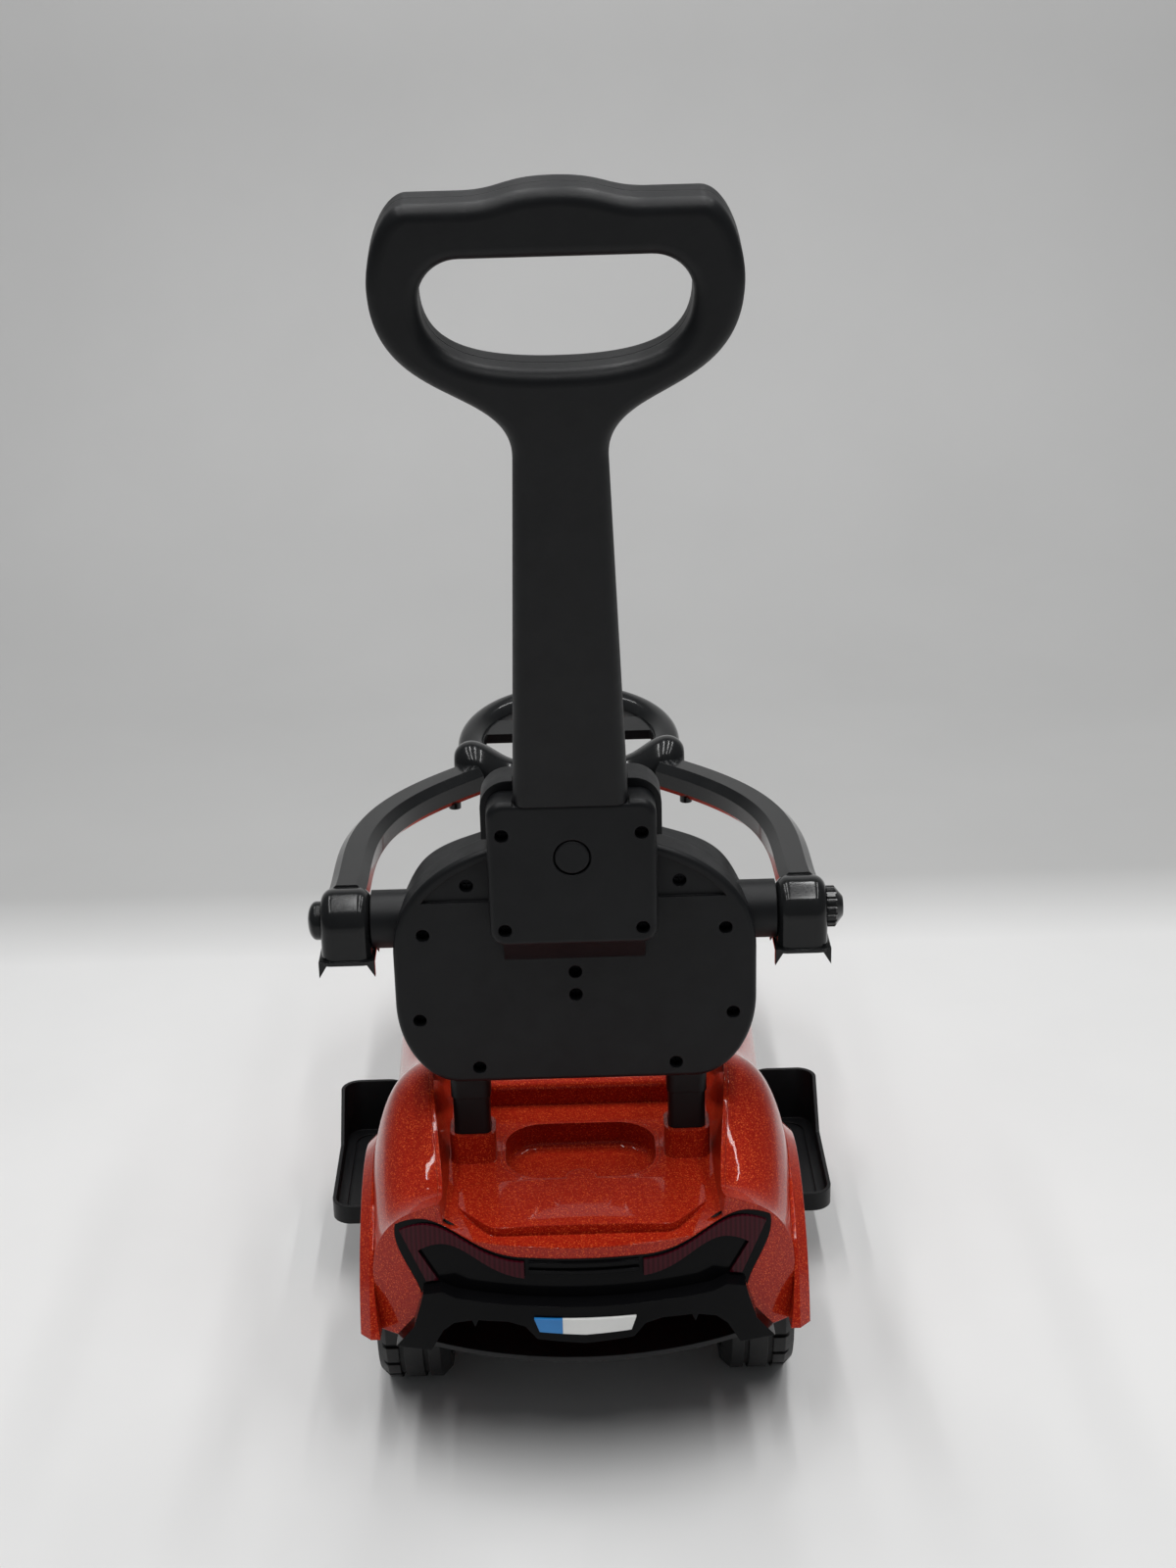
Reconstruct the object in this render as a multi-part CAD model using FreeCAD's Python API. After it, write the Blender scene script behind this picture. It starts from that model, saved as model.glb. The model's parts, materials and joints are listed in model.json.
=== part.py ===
"""Push car: a moulded sports-car body on four wheels, with a backrest, a lift-up guard, a working
steering linkage, a seat lid over a storage tub and a plug-in push handle.

Millimetres. +Z is up, the nose faces -Y and +X is the rider's left. The origin is on the floor,
midway between the nose and the back of the grip.
"""
import FreeCAD
import Part
import math
import os

from FreeCAD import Vector

SIDES = {"left": 1, "right": -1}
ORIGIN = Vector(0, 0, 0)
ALONG_X = Vector(1, 0, 0)
ALONG_Y = Vector(0, 1, 0)
ALONG_Z = Vector(0, 0, 1)

# Fits and cuts
running_gap = 0.08
slide_gap = 0.4
seat_gap = 0.05
overrun = 4.0
edge_angle_slack = 4.0

# Body shell
body_half_width = 158.0
haunch_height = 262.0
sill_height = 54.0
overhang_lift = 30.0
body_wall = 3.0
tail_y = 380.0
tail_radius = 275.0
tail_margin = 14.0

# Deck behind the seat, with its pocket and post sockets
deck_height = 196.0
deck_drop = 6.0
deck_half_width = 97.0
deck_wall_draft = 22.0
deck_headroom = 60.0
deck_front_y = -22.0
pocket_half_length = 56.0
pocket_width = 76.0
pocket_y = 254.0
pocket_depth = 20.0
pocket_edge = 6.0
pocket_round_share = 0.75
socket_rise = 23.0
socket_depth = 20.0
socket_wall = 3.4
riser_y = 187.0
riser_thickness = 24.0
riser_half_width = 94.0
riser_rise = 19.0
riser_corner = 9.0
riser_edge = 6.0
panel_front_y = 298.0
panel_half_width = 91.0
panel_rear_half_width = 66.0
panel_rear_gap = 16.0
panel_tab_radius = 13.0
panel_corner = 16.0
panel_groove = 1.6
panel_groove_depth = 1.2
lid_crown = 3.0
lid_rise = 5.0
ramp_inner_x = 70.0
ramp_front_y = 262.0
ramp_top = 204.0

# Wheels and axles
wheel_radius = 70.0
rear_wheel_width = 54.0
front_wheel_width = 46.0
rear_track = 260.0
front_track = 246.0
rear_axle_y = 236.0
front_axle_y = -226.0
axle_radius = 5.0
tyre_edge = 7.0
tread_groove_width = 4.0
tread_groove_depth = 3.0
tread_lug_count = 22
rim_radius = 47.0
rim_recess = 9.0
wheel_web = 5.0
tyre_wall = 8.0
hub_radius = 14.0
hubcap_thickness = 3.0
hubcap_dome = 8.0
hubcap_spokes = 5
dome_pull_share = 0.6

# Wheel arches
rear_arch_gap = 12.0
front_arch_gap = 20.0
flare_band = 36.0
rear_flare_half_width = 164.0
front_flare_half_width = 158.0
flare_edge = 8.0
flare_sweep = 166.0
flare_root = 42.0
arch_inner_gap = 14.0

# Underbody
underbody_height = 86.0
underbody_thickness = 4.0
axle_block_width = 18.0
axle_block_length = 34.0
kingpin_plate_width = 32.0

# Rear fascia, lights and bumper
fascia_depth = 9.0
fascia_top = 202.0
fascia_bottom = 82.0
fascia_half_width = 134.0
light_stand = 2.0
light_margin = 3.0
light_band = 13.0
light_leg_drop = 34.0
light_leg_lean = 18.0
light_leg_width = 9.0
centre_bar_half_width = 39.0
centre_bar_height = 12.0
centre_bar_ribs = 2
bumper_reach = 13.0
bumper_top = 150.0
bumper_height = 52.0
bumper_half_width = 137.0
arch_crown = 10
bumper_foot = 6
mouth_lap = 7.0
tab_width = 5.0
tab_drop = 6.0
plate_half_width = 36.0
plate_height = 10.5
plate_drop = 9.0
plate_keel = 2.0
plate_thickness = 2.5
plate_band_width = 20.0
plate_lean_share = 0.9

# Nose
headlight_height = 22.0
headlight_length = 62.0
headlight_x = 108.0
headlight_z = 148.0
headlight_slant = 14.0
grille_half_width = 62.0
grille_height = 26.0
grille_z = 98.0
grille_bar_count = 4
grille_bar = 3.0

# Footrests
footrest_length = 150.0
footrest_width = 56.0
footrest_rear_y = 122.0
footrest_base_z = 54.0
footrest_rim = 16.0
footrest_floor = 4.0
footrest_wall = 3.0
toe_wall_height = 48.0
footrest_outer_x = 206.0
footrest_corner = 16.0
tongue_height = 8.0
tread_inset = 11.0
tread_line = 1.5

# Seat and storage tub
seat_half_width = 92.0
seat_front_y = -8.0
seat_length = 160.0
seat_thickness = 15.0
seat_corner = 26.0
seat_edge = 5.0
tub_half_width = 72.0
tub_length = 128.0
tub_depth = 84.0
tub_wall = 2.5
hinge_pin_radius = 3.0
hinge_barrel_radius = 6.5
hinge_barrel_length = 26.0
hinge_half_spacing = 60.0

# Backrest
backrest_half_width = 129.0
backrest_bottom = 272.0
backrest_top = 463.0
backrest_corner_x = 84.0
backrest_side_low = 336.0
backrest_side_high = 374.0
backrest_back_y = 287.0
cover_depth = 24.0
front_shell_depth = 36.0
cover_rim = 7.0
cover_recess = 3.0
ledge_z = 415.0
edge_round = 4.0
corner_pull_share = 0.55
crown_pull_share = 0.60
post_width = 27.0
post_depth = 24.0
post_x = 79.5
post_y = 256.0
post_corner = 5.0
post_in_backrest = 30.0
post_sleeve_lap = 1.2
post_step_z = 249.0

# Handle socket box
box_half_width = 58.5
box_bottom = 391.0
box_top = 499.0
box_reach = 25.0
box_corner = 12.0
box_edge = 5.0
apron_drop = 21.0
apron_half_width = 50.0
front_box_half_width = 63.0
front_box_top = 506.0
front_box_depth = 28.0
front_box_neck = 50.0
front_box_corner = 20.0
latch_z = 458.0
latch_radius = 12.0
latch_gap = 1.2
latch_travel = 4.0
latch_length = 9.0

# Push handle
handle_lean = 13.0
handle_pivot_y = 296.0
handle_foot_z = 500.0
grip_top_z = 921.0
grip_half_width = 112.5
grip_cheek = 60.0
grip_flat_half_width = 86.0
grip_hump = 8.0
grip_hump_half_width = 56.0
grip_opening_half_width = 82.0
grip_opening_top = 42.0
grip_opening_height = 72.0
grip_opening_corner = 25.0
hump_blend_share = 0.55
neck_pull_share = 0.456
cheek_pull_share = 0.675
shoulder_pull_share = 0.40
corner_reach_share = 0.60
neck_half_width = 30.0
neck_z = 752.0
foot_half_width = 39.5
handle_thickness = 36.0
handle_edge = 9.0
tongue_half_width = 30.0
tongue_thickness = 14.0
tongue_length = 88.0

# Guard
guard_y = 255.0
guard_z = 390.0
stub_radius = 21.0
stub_length = 20.0
stub_inset = 14.0
pivot_radius = 12.0
thead_radius = 23.0
thead_width = 36.0
thead_shoulder = 9.0
thead_skirt = 25.0
thead_slot = 16.0
thead_wall = 4.0
thead_flange = 2.5
flange_lip = 2.0
prong_drop = 10.0
prong_width = 6.0
prong_thickness = 5.0
guard_arm_width = 27.0
guard_arm_height = 24.0
guard_arm_bevel = 6.0
guard_arm_rise = 11.0
guard_reach = 244.0
guard_front_half_width = 78.0
elbow_radius = 21.0
elbow_end_half_width = 94.0
elbow_seam_x = 24.0
elbow_rise = 20.0
elbow_dip = 13.0
elbow_set_share = 0.8
coupler_radius = 16.0
cap_radius = 14.0
cap_dome = 10.0
knob_radius = 15.0
knob_length = 12.0
knob_ribs = 16
knob_rib_radius = 1.6
arm_boss_radius = 5.0
arm_boss_length = 6.0
boss_share = 0.35

# Steering
wheel_tilt = 8.0
steering_y = -130.0
steering_z = 377.0
steering_ring_radius = 84.0
steering_tube_radius = 12.5
spoke_width = 26.0
spoke_thickness = 9.0
spoke_offset = 24.0
hub_disc_radius = 27.0
hub_disc_height = 22.0
horn_radius = 17.0
horn_length = 9.0
horn_stand = 3.0
horn_travel = 3.0
horn_gap = 0.6
column_radius = 6.0
column_foot_z = 66.0
bush_wall = 5.0
bush_length = 22.0
cowl_drop = 134.0
bush_flange = 2.5
pitman_length = 50.0
link_thickness = 6.0
link_width = 16.0
link_pin_radius = 3.0
link_pin_gap = 0.8
link_slot_length = 14.0
slot_round_share = 0.95
knuckle_radius = 9.0
knuckle_collar_radius = 9.5
knuckle_height = 26.0
kingpin_radius = 4.0
kingpin_inset = 14.0
kingpin_head = 7.0
kingpin_head_height = 3.0
knuckle_arm_x = 74.0

# Fasteners
screw_radius = 3.8
screw_head = 3.0
screw_sink = 8.0
screw_hole_radius = 4.8
screw_drive = 1.1
centre_hole_rise = 18.0
drive_share = 0.7

# Along the body: place from nose to tail, half width, crest height, lift of the lower edge
body_station_shares = [
    (0.00, 0.50, 0.43, 1.00),
    (0.03, 0.72, 0.54, 0.95),
    (0.10, 0.92, 0.67, 0.60),
    (0.20, 0.97, 0.80, 0.10),
    (0.30, 0.97, 0.89, 0.00),
    (0.37, 0.96, 0.92, 0.00),
    (0.46, 0.965, 0.83, 0.00),
    (0.56, 0.96, 0.79, 0.00),
    (0.66, 0.965, 0.83, 0.00),
    (0.74, 0.98, 0.94, 0.00),
    (0.80, 1.00, 1.00, 0.15),
    (0.86, 0.99, 0.91, 0.55),
    (0.93, 0.965, 0.80, 0.90),
    (1.00, 0.90, 0.76, 1.00),
]

# Half outline of a body section: across the half width, up from the lower edge to the crest
body_section_shares = [
    (0.96, 0.00),
    (1.00, 0.38),
    (0.97, 0.70),
    (0.83, 0.92),
    (0.55, 1.00),
    (0.00, 1.01),
]

# Top edge of the fascia: across its half width, down from its top to the bumper's top
fascia_edge_shares = [
    (1.00, 0.20),
    (0.93, 0.08),
    (0.82, 0.00),
    (0.72, 0.06),
    (0.62, 0.19),
    (0.50, 0.33),
    (0.40, 0.39),
    (0.30, 0.40),
]

# Side edge of the fascia: across its half width, up from its bottom to its top
fascia_side_shares = [(1.03, 0.00), (0.89, 0.32), (0.875, 0.48), (0.91, 0.58)]

# Bumper outline: across its half width, down its height
bumper_edge_shares = [
    (0.00, 0.00),
    (0.66, 0.00),
    (0.74, -0.06),
    (0.84, 0.04),
    (0.86, 0.26),
    (0.90, 0.62),
    (1.00, 1.00),
    (0.81, 0.92),
    (0.74, 0.56),
    (0.68, 0.40),
    (0.57, 0.30),
    (0.40, 0.27),
    (0.31, 0.33),
    (0.25, 0.52),
    (0.00, 0.58),
]

# Guard arm centre line: sideways from the front end to the T-head, forward over the reach
guard_path_shares = [(1.00, 0.04), (0.98, 0.32), (0.85, 0.58), (0.52, 0.80), (0.00, 1.00)]

# Front shell's shoulder: across the half width, up from the side to the top
shoulder_shares = [(0.94, 0.32), (0.82, 0.60), (0.66, 0.74), (0.46, 0.84), (0.24, 0.97), (0.00, 1.00)]

# Elbow: across from seam to end, radius, height above its dip
elbow_shares = [
    (0.00, 0.76, 0.00),
    (0.30, 0.84, 0.18),
    (0.55, 0.95, 0.55),
    (0.75, 1.00, 0.85),
    (0.90, 0.80, 1.00),
    (1.00, 0.30, 1.05),
]

# Screw places on the backrest cover: across the half width, up its height
cover_screw_shares = [(0.58, 0.81), (0.83, 0.62), (0.87, 0.27), (0.55, 0.065)]
box_screw_shares = [(0.82, 0.78), (0.82, 0.12)]

# Worked out from the above
lean = math.radians(handle_lean)
grip_length = (grip_top_z - handle_foot_z) / math.cos(lean)
grip_back_y = (handle_pivot_y + (handle_thickness / 2 - handle_edge) * math.cos(lean)
               + (grip_length - handle_edge) * math.sin(lean) + handle_edge)
nose_y = -grip_back_y
body_end_y = tail_y + tail_margin
body_length = body_end_y - nose_y
rear_arch_radius = wheel_radius + rear_arch_gap
front_arch_radius = wheel_radius + front_arch_gap
rear_arch_x = rear_track / 2 - rear_wheel_width / 2 - arch_inner_gap
kingpin_x = front_track / 2 - front_wheel_width / 2 - kingpin_inset
front_arch_x = kingpin_x - arch_inner_gap
tilt = math.radians(wheel_tilt)
column_axis = Vector(0, math.sin(tilt), math.cos(tilt))
column_foot_y = steering_y - (steering_z - column_foot_z) * math.tan(tilt)
tie_rod_y = column_foot_y + pitman_length
link_pin_low = column_foot_z - link_thickness - link_pin_gap * 2
seat_base_z = deck_height
seat_rear_y = seat_front_y + seat_length
seat_y = (seat_front_y + seat_rear_y) / 2
seat_pin_y = seat_front_y - hinge_barrel_radius
seat_pin_z = seat_base_z + hinge_barrel_radius + slide_gap
parting_y = backrest_back_y - cover_depth
backrest_height = backrest_top - backrest_bottom
thead_inner_x = backrest_half_width + stub_length - overrun
thead_outer_x = thead_inner_x + thead_width
box_back_y = backrest_back_y + box_reach


def export(name, shape):
    """Write one node, as a plain list of its solids."""
    solids = shape.Solids
    whole = solids[0] if len(solids) == 1 else Part.makeCompound(solids)
    whole.exportStep("parts/" + name + ".step")


def mirror_x(shape):
    return shape.mirror(ORIGIN, ALONG_X)


def on_side(shape, sign):
    """The shape as drawn for the left side, or its mirror image."""
    return shape if sign > 0 else mirror_x(shape)


def block(x0, x1, y0, y1, z0, z1):
    return Part.makeBox(x1 - x0, y1 - y0, z1 - z0, Vector(x0, y0, z0))


def rod_x(radius, x0, x1, y, z):
    return Part.makeCylinder(radius, x1 - x0, Vector(x0, y, z), ALONG_X)


def rod_y(radius, y0, y1, x, z):
    return Part.makeCylinder(radius, y1 - y0, Vector(x, y0, z), ALONG_Y)


def rod_z(radius, z0, z1, x, y):
    return Part.makeCylinder(radius, z1 - z0, Vector(x, y, z0), ALONG_Z)


def fuse_all(shapes):
    return shapes[0].multiFuse(shapes[1:]).removeSplitter()


def spline(points):
    curve = Part.BSplineCurve()
    curve.interpolate(points)
    return curve.toShape()


def bezier(*poles):
    curve = Part.BezierCurve()
    curve.setPoles(list(poles))
    return curve.toShape()


def polygon(points):
    return Part.makePolygon(points + points[:1])


def prism(wire, direction):
    return Part.Face(wire).extrude(direction)


def edges_along(shape, direction):
    """Straight edges of a shape that run along a direction."""
    chosen = []
    for edge in shape.Edges:
        run = edge.Vertexes[-1].Point - edge.Vertexes[0].Point
        if run.Length > 0 and abs(run.normalize().dot(direction)) > math.cos(math.radians(edge_angle_slack)):
            chosen.append(edge)
    return chosen


def rounded_block(x0, x1, y0, y1, z0, z1, corner, axis):
    """A box whose edges along one axis are rounded."""
    box = block(x0, x1, y0, y1, z0, z1)
    return box.makeFillet(corner, edges_along(box, axis))


def edges_on_plane(shape, axis, place):
    """Edges that lie wholly at one place along an axis."""
    chosen = []
    for edge in shape.Edges:
        box = edge.BoundBox
        low = {"x": box.XMin, "y": box.YMin, "z": box.ZMin}[axis]
        high = {"x": box.XMax, "y": box.YMax, "z": box.ZMax}[axis]
        if abs(low - place) < seat_gap and abs(high - place) < seat_gap:
            chosen.append(edge)
    return chosen


def body_section(y, half_width, crest, sill, inset):
    """Closed section of the body: a spline over the top, closed below, well down when inset."""
    width = half_width - inset
    base = sill + inset
    rise = crest - inset - base
    half = [Vector(across * width, y, base + up * rise) for across, up in body_section_shares]
    other = [Vector(-point.x, y, point.z) for point in reversed(half[:-1])]
    points = half + other
    floor = sill - sill_height if inset else sill
    low = [Vector(points[-1].x, y, floor), Vector(points[0].x, y, floor)]
    corners = [points[-1]] + (low if inset else []) + [points[0]]
    return Part.Wire([spline(points)] + Part.makePolygon(corners).Edges)


def body_loft(inset):
    """The body's smooth outside, or the space inside it, open below and behind, when inset."""
    sections = []
    for along, wide, high, lift in body_station_shares:
        y = nose_y + inset + along * body_length
        sill = sill_height + lift * overhang_lift
        sections.append(body_section(y, wide * body_half_width, high * haunch_height, sill, inset))
    return Part.makeLoft(sections, True, False)


def arc_slab(inner_radius, outer_radius, z0, z1):
    """A slab bowed like the tail, between two radii about the tail's centre of curvature."""
    centre = Vector(0, tail_y - tail_radius, z0)
    slab = Part.makeCylinder(outer_radius, z1 - z0, centre)
    slab = slab.cut(Part.makeCylinder(inner_radius, z1 - z0, centre))
    return slab.common(block(-outer_radius, outer_radius, 0, outer_radius + tail_y, z0, z1))


def fascia_wire(margin):
    """Outline of the fascia, seen from behind, drawn on the XZ plane."""
    width = fascia_half_width - margin
    fall = fascia_top - bumper_top
    high = fascia_top - margin
    top = [Vector(across * width, 0, high - down * fall) for across, down in fascia_edge_shares]
    rise = fascia_top - fascia_bottom
    base = fascia_bottom + margin
    side = [Vector(across * width, 0, base + up * rise) for across, up in fascia_side_shares]
    right = [spline(top), spline(side + top[:1])]
    left = [mirror_x(edge) for edge in right]
    middle = Part.makeLine(Vector(-top[-1].x, 0, top[-1].z), top[-1])
    low = Part.makeLine(Vector(-side[0].x, 0, side[0].z), side[0])
    return Part.Wire(Part.__sortEdges__(right + left + [middle, low]))


def behind_prism(wire):
    """Extrude an outline on the XZ plane through the whole tail."""
    return prism(wire, Vector(0, body_end_y + overrun, 0))


def deck_space(grow):
    """Room over the seat and deck, or the same grown by a wall."""
    floor = deck_height - grow
    side = deck_half_width + grow
    front = deck_front_y - grow
    rear = body_end_y + overrun
    top = haunch_height + deck_headroom
    run = [Vector(0, front, floor), Vector(0, pocket_y, floor), Vector(0, tail_y, floor - deck_drop),
           Vector(0, rear, floor - deck_drop), Vector(0, rear, top), Vector(0, front - deck_wall_draft, top)]
    length = prism(polygon(run), Vector(2 * body_half_width, 0, 0))
    length.translate(Vector(-body_half_width, 0, 0))
    low = floor - deck_drop
    across = [Vector(-side, 0, low), Vector(side, 0, low), Vector(side + deck_wall_draft, 0, top),
              Vector(-side - deck_wall_draft, 0, top)]
    width = prism(polygon(across), Vector(0, rear - front + deck_wall_draft, 0))
    width.translate(Vector(0, front - deck_wall_draft, 0))
    return length.common(width)


def pocket_space(grow):
    """The oval pocket in the deck."""
    depth = pocket_depth + grow
    half = pocket_half_length + grow
    wide = pocket_width / 2 + grow
    box = block(-half, half, pocket_y - wide, pocket_y + wide, deck_height - depth, deck_height)
    box = box.makeFillet(wide * pocket_round_share, edges_along(box, ALONG_Z))
    return box.makeFillet(pocket_edge + grow, edges_on_plane(box, "z", deck_height - depth))


def panel_prism(inset):
    """Boot-lid outline, run up through the deck."""
    wide = panel_half_width - inset
    rear = tail_y - panel_rear_gap - inset
    front = panel_front_y + inset
    narrow = panel_rear_half_width - inset
    waist = (front + rear) / 2
    outline = polygon([Vector(-wide, front, 0), Vector(wide, front, 0), Vector(wide, waist, 0),
                       Vector(narrow, rear, 0), Vector(-narrow, rear, 0), Vector(-wide, waist, 0)])
    solid = prism(outline, Vector(0, 0, haunch_height))
    solid = solid.makeFillet(panel_corner - inset, edges_along(solid, ALONG_Z))
    return solid.fuse(rod_z(panel_tab_radius - inset, 0, haunch_height, 0, panel_front_y))


def panel_line():
    """Shallow groove round the boot lid."""
    ring = panel_prism(0).cut(panel_prism(panel_groove))
    return ring.common(deck_space(panel_groove_depth))


def post_space(grow, z0, z1):
    """A post's straight prism, or the socket round it."""
    wide = post_width / 2 + grow
    deep = post_depth / 2 + grow
    return rounded_block(post_x - wide, post_x + wide, post_y - deep, post_y + deep, z0, z1,
                         post_corner + grow, ALONG_Z)


def arch_space(radius, x_from, y):
    """Room for a wheel on each side."""
    reach = rear_flare_half_width + overrun
    left = rod_x(radius, x_from, reach, y, wheel_radius)
    below = block(x_from, reach, y - radius, y + radius, 0, wheel_radius)
    one = left.fuse(below)
    return one.fuse(mirror_x(one))


def column_rod(radius, height_from, height_to):
    """A rod on the steering axis between two distances from the steering wheel's centre."""
    centre = Vector(0, steering_y, steering_z)
    return Part.makeCylinder(radius, height_to - height_from, centre + column_axis * height_from, column_axis)


def headlight_space():
    """Slanted outline of the left headlight, run through the nose."""
    half = headlight_length / 2
    rise = headlight_height / 2
    outline = polygon([Vector(headlight_x - half, 0, headlight_z - rise),
                       Vector(headlight_x + half, 0, headlight_z + headlight_slant - rise),
                       Vector(headlight_x + half, 0, headlight_z + headlight_slant + rise),
                       Vector(headlight_x - half, 0, headlight_z + rise)])
    solid = prism(outline, Vector(0, nose_y - front_axle_y, 0))
    solid.translate(Vector(0, front_axle_y - front_arch_radius, 0))
    return solid


def grille_space():
    """Mouth of the grille in the nose."""
    rise = grille_height / 2
    return block(-grille_half_width, grille_half_width, nose_y - overrun, nose_y + front_arch_radius,
                 grille_z - rise, grille_z + rise)


def tub_space(grow, z0, z1):
    """The storage tub's rounded well."""
    half = tub_half_width + grow
    length = tub_length / 2 + grow
    return rounded_block(-half, half, seat_y - length, seat_y + length, z0, z1, seat_corner, ALONG_Z)


def make_pocket():
    """Oval tray let into the deck: a wall standing on a floor plate."""
    floor = deck_height - pocket_depth
    reach = pocket_half_length + pocket_width
    below = block(-reach, reach, pocket_y - reach, pocket_y + reach, floor - pocket_depth, floor)
    cup = pocket_space(body_wall)
    wall = cup.cut(below).cut(pocket_space(0)).cut(deck_space(0))
    return Part.makeCompound([wall, cup.common(below)])


def ramp_wire(y, top):
    """Triangle across the deck's left corner, its slope rising outwards to the given height."""
    low = deck_height - deck_drop - body_wall
    wide = deck_half_width + 2 * body_wall
    return polygon([Vector(ramp_inner_x, y, low), Vector(wide, y, low), Vector(wide, y, top)])


def make_ramp():
    """Rise of the deck's left corner towards the fascia's raised top edge."""
    front = ramp_wire(ramp_front_y, deck_height - deck_drop / 2)
    ramp = Part.makeLoft([front, ramp_wire(tail_y, ramp_top)], True, True)
    return ramp.common(deck_space(body_wall / 2)).cut(tail_trim()).cut(fascia_cut())


def make_lid():
    """Boot lid: a shallow crown inside the groove on the deck."""
    radius = panel_half_width * panel_half_width / (2 * lid_crown)
    top = deck_height - deck_drop / 2 + lid_rise
    barrel = Part.makeCylinder(radius, tail_y - pocket_y, Vector(0, pocket_y, top - radius), ALONG_Y)
    crown = barrel.common(panel_prism(panel_groove)).common(deck_space(body_wall / 2))
    return crown.cut(pocket_space(body_wall + seat_gap))


def make_riser():
    """Low wall across the front of the deck, behind the seat."""
    top = deck_height + riser_rise
    front = riser_y - riser_thickness
    half = riser_half_width
    wall = rounded_block(-half, half, front, riser_y, deck_height - body_wall, top, riser_corner, ALONG_Z)
    return wall.makeFillet(riser_edge, edges_on_plane(wall, "z", top))


def fascia_cut():
    """Room for the fascia in the tail."""
    return behind_prism(fascia_wire(-seat_gap)).common(fascia_room())


def make_shell(outer):
    """Red shell: a hollow loft, open over the deck, with a bowed tail wall and wheel arches."""
    shell = outer.cut(body_loft(body_wall)).fuse(tail_wall(outer))
    shell = shell.cut(deck_space(body_wall + seat_gap)).cut(lip_room(seat_gap))
    shell = shell.cut(arch_space(rear_arch_radius, rear_arch_x, rear_axle_y))
    shell = shell.cut(arch_space(front_arch_radius, front_arch_x, front_axle_y))
    shell = shell.cut(tail_trim()).cut(fascia_cut()).cut(mouth_space())
    shell = shell.cut(column_rod(column_radius + bush_wall + seat_gap, -steering_z, 0))
    for light in (headlight_space(), mirror_x(headlight_space())):
        shell = shell.cut(light)
    return shell.cut(grille_space())


def make_deck(outer):
    """Red deck let into the shell: a floor with side walls, a pocket, post sockets and a low riser."""
    lip = tail_wall(outer).common(lip_room(0))
    deck = deck_space(body_wall).common(outer).fuse(lip).cut(deck_space(0)).cut(panel_line())
    deck = deck.cut(tail_trim()).cut(fascia_cut())
    low = deck_height - socket_depth
    rim = deck_height + socket_rise
    boss = post_space(socket_wall, low, rim)
    deck = deck.cut(pocket_space(body_wall + seat_gap))
    ramp = make_ramp()
    deck = deck.multiFuse([boss, mirror_x(boss), make_riser(), make_lid(), ramp, mirror_x(ramp)])
    hole = post_space(seat_gap, low + body_wall, rim + overrun)
    deck = deck.cut(hole).cut(mirror_x(hole))
    return deck.cut(tub_space(tub_wall + seat_gap, deck_height - tub_depth, deck_height + overrun))


def tail_wall(outer):
    """Bowed red wall that closes the tail."""
    return arc_slab(tail_radius - body_wall, tail_radius, 0, haunch_height).common(outer)


def lip_room(grow):
    """The middle of the tail above the bumper, where the wall belongs to the deck."""
    half = deck_half_width + body_wall + grow
    return block(-half, half, pocket_y, body_end_y + overrun, bumper_top - grow, haunch_height)


def tail_trim():
    """Everything behind the bowed tail."""
    return arc_slab(tail_radius, tail_radius + 2 * body_half_width, 0, haunch_height)


def fascia_room():
    """The bowed slice of the tail that the fascia fills."""
    return arc_slab(tail_radius - fascia_depth, tail_radius + tail_margin, 0, haunch_height)


def make_fascia(outer):
    """Gloss black tail panel with a ribbed bar across its middle."""
    slab = arc_slab(tail_radius - fascia_depth, tail_radius, 0, haunch_height)
    panel = behind_prism(fascia_wire(0)).common(slab).common(outer).cut(mouth_space())
    bar_top = fascia_top - fascia_edge_shares[-1][1] * (fascia_top - bumper_top) - light_margin
    rib = centre_bar_height / (2 * centre_bar_ribs)
    skin = arc_slab(tail_radius - light_stand, tail_radius + light_stand, 0, haunch_height)
    ribs = []
    for index in range(centre_bar_ribs):
        z = bar_top - 2 * index * rib
        bar = block(-centre_bar_half_width, centre_bar_half_width, 0, body_end_y, z - rib, z)
        ribs.append(bar.common(skin))
    return panel.multiFuse(ribs)


def make_tail_light():
    """Left boomerang lamp: a band under the fascia's top edge with a leg leaning in below its outer end."""
    width = fascia_half_width - light_margin
    fall = fascia_top - bumper_top
    high = fascia_top - light_margin
    top = []
    under = []
    for across, down in fascia_edge_shares:
        top.append(Vector(across * width, 0, high - down * fall))
        under.append(Vector(across * (width - light_band), 0, high - light_band - down * fall))
    top[-1].x = centre_bar_half_width + light_margin
    under[-1].x = top[-1].x
    foot = [top[0] - Vector(light_leg_lean + light_leg_width, 0, light_leg_drop),
            top[0] - Vector(light_leg_lean, 0, light_leg_drop + light_margin)]
    outline = Part.Wire([spline(top), Part.makeLine(top[-1], under[-1]), spline(under[::-1])]
                        + Part.makePolygon([under[0]] + foot + [top[0]]).Edges)
    return behind_prism(outline).common(arc_slab(tail_radius, tail_radius + light_stand, 0, haunch_height))


def bumper_half():
    """Right half of the bumper's outline, from its top middle round to its bottom middle."""
    return [Vector(across * bumper_half_width, 0, bumper_top - down * bumper_height)
            for across, down in bumper_edge_shares]


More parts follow.
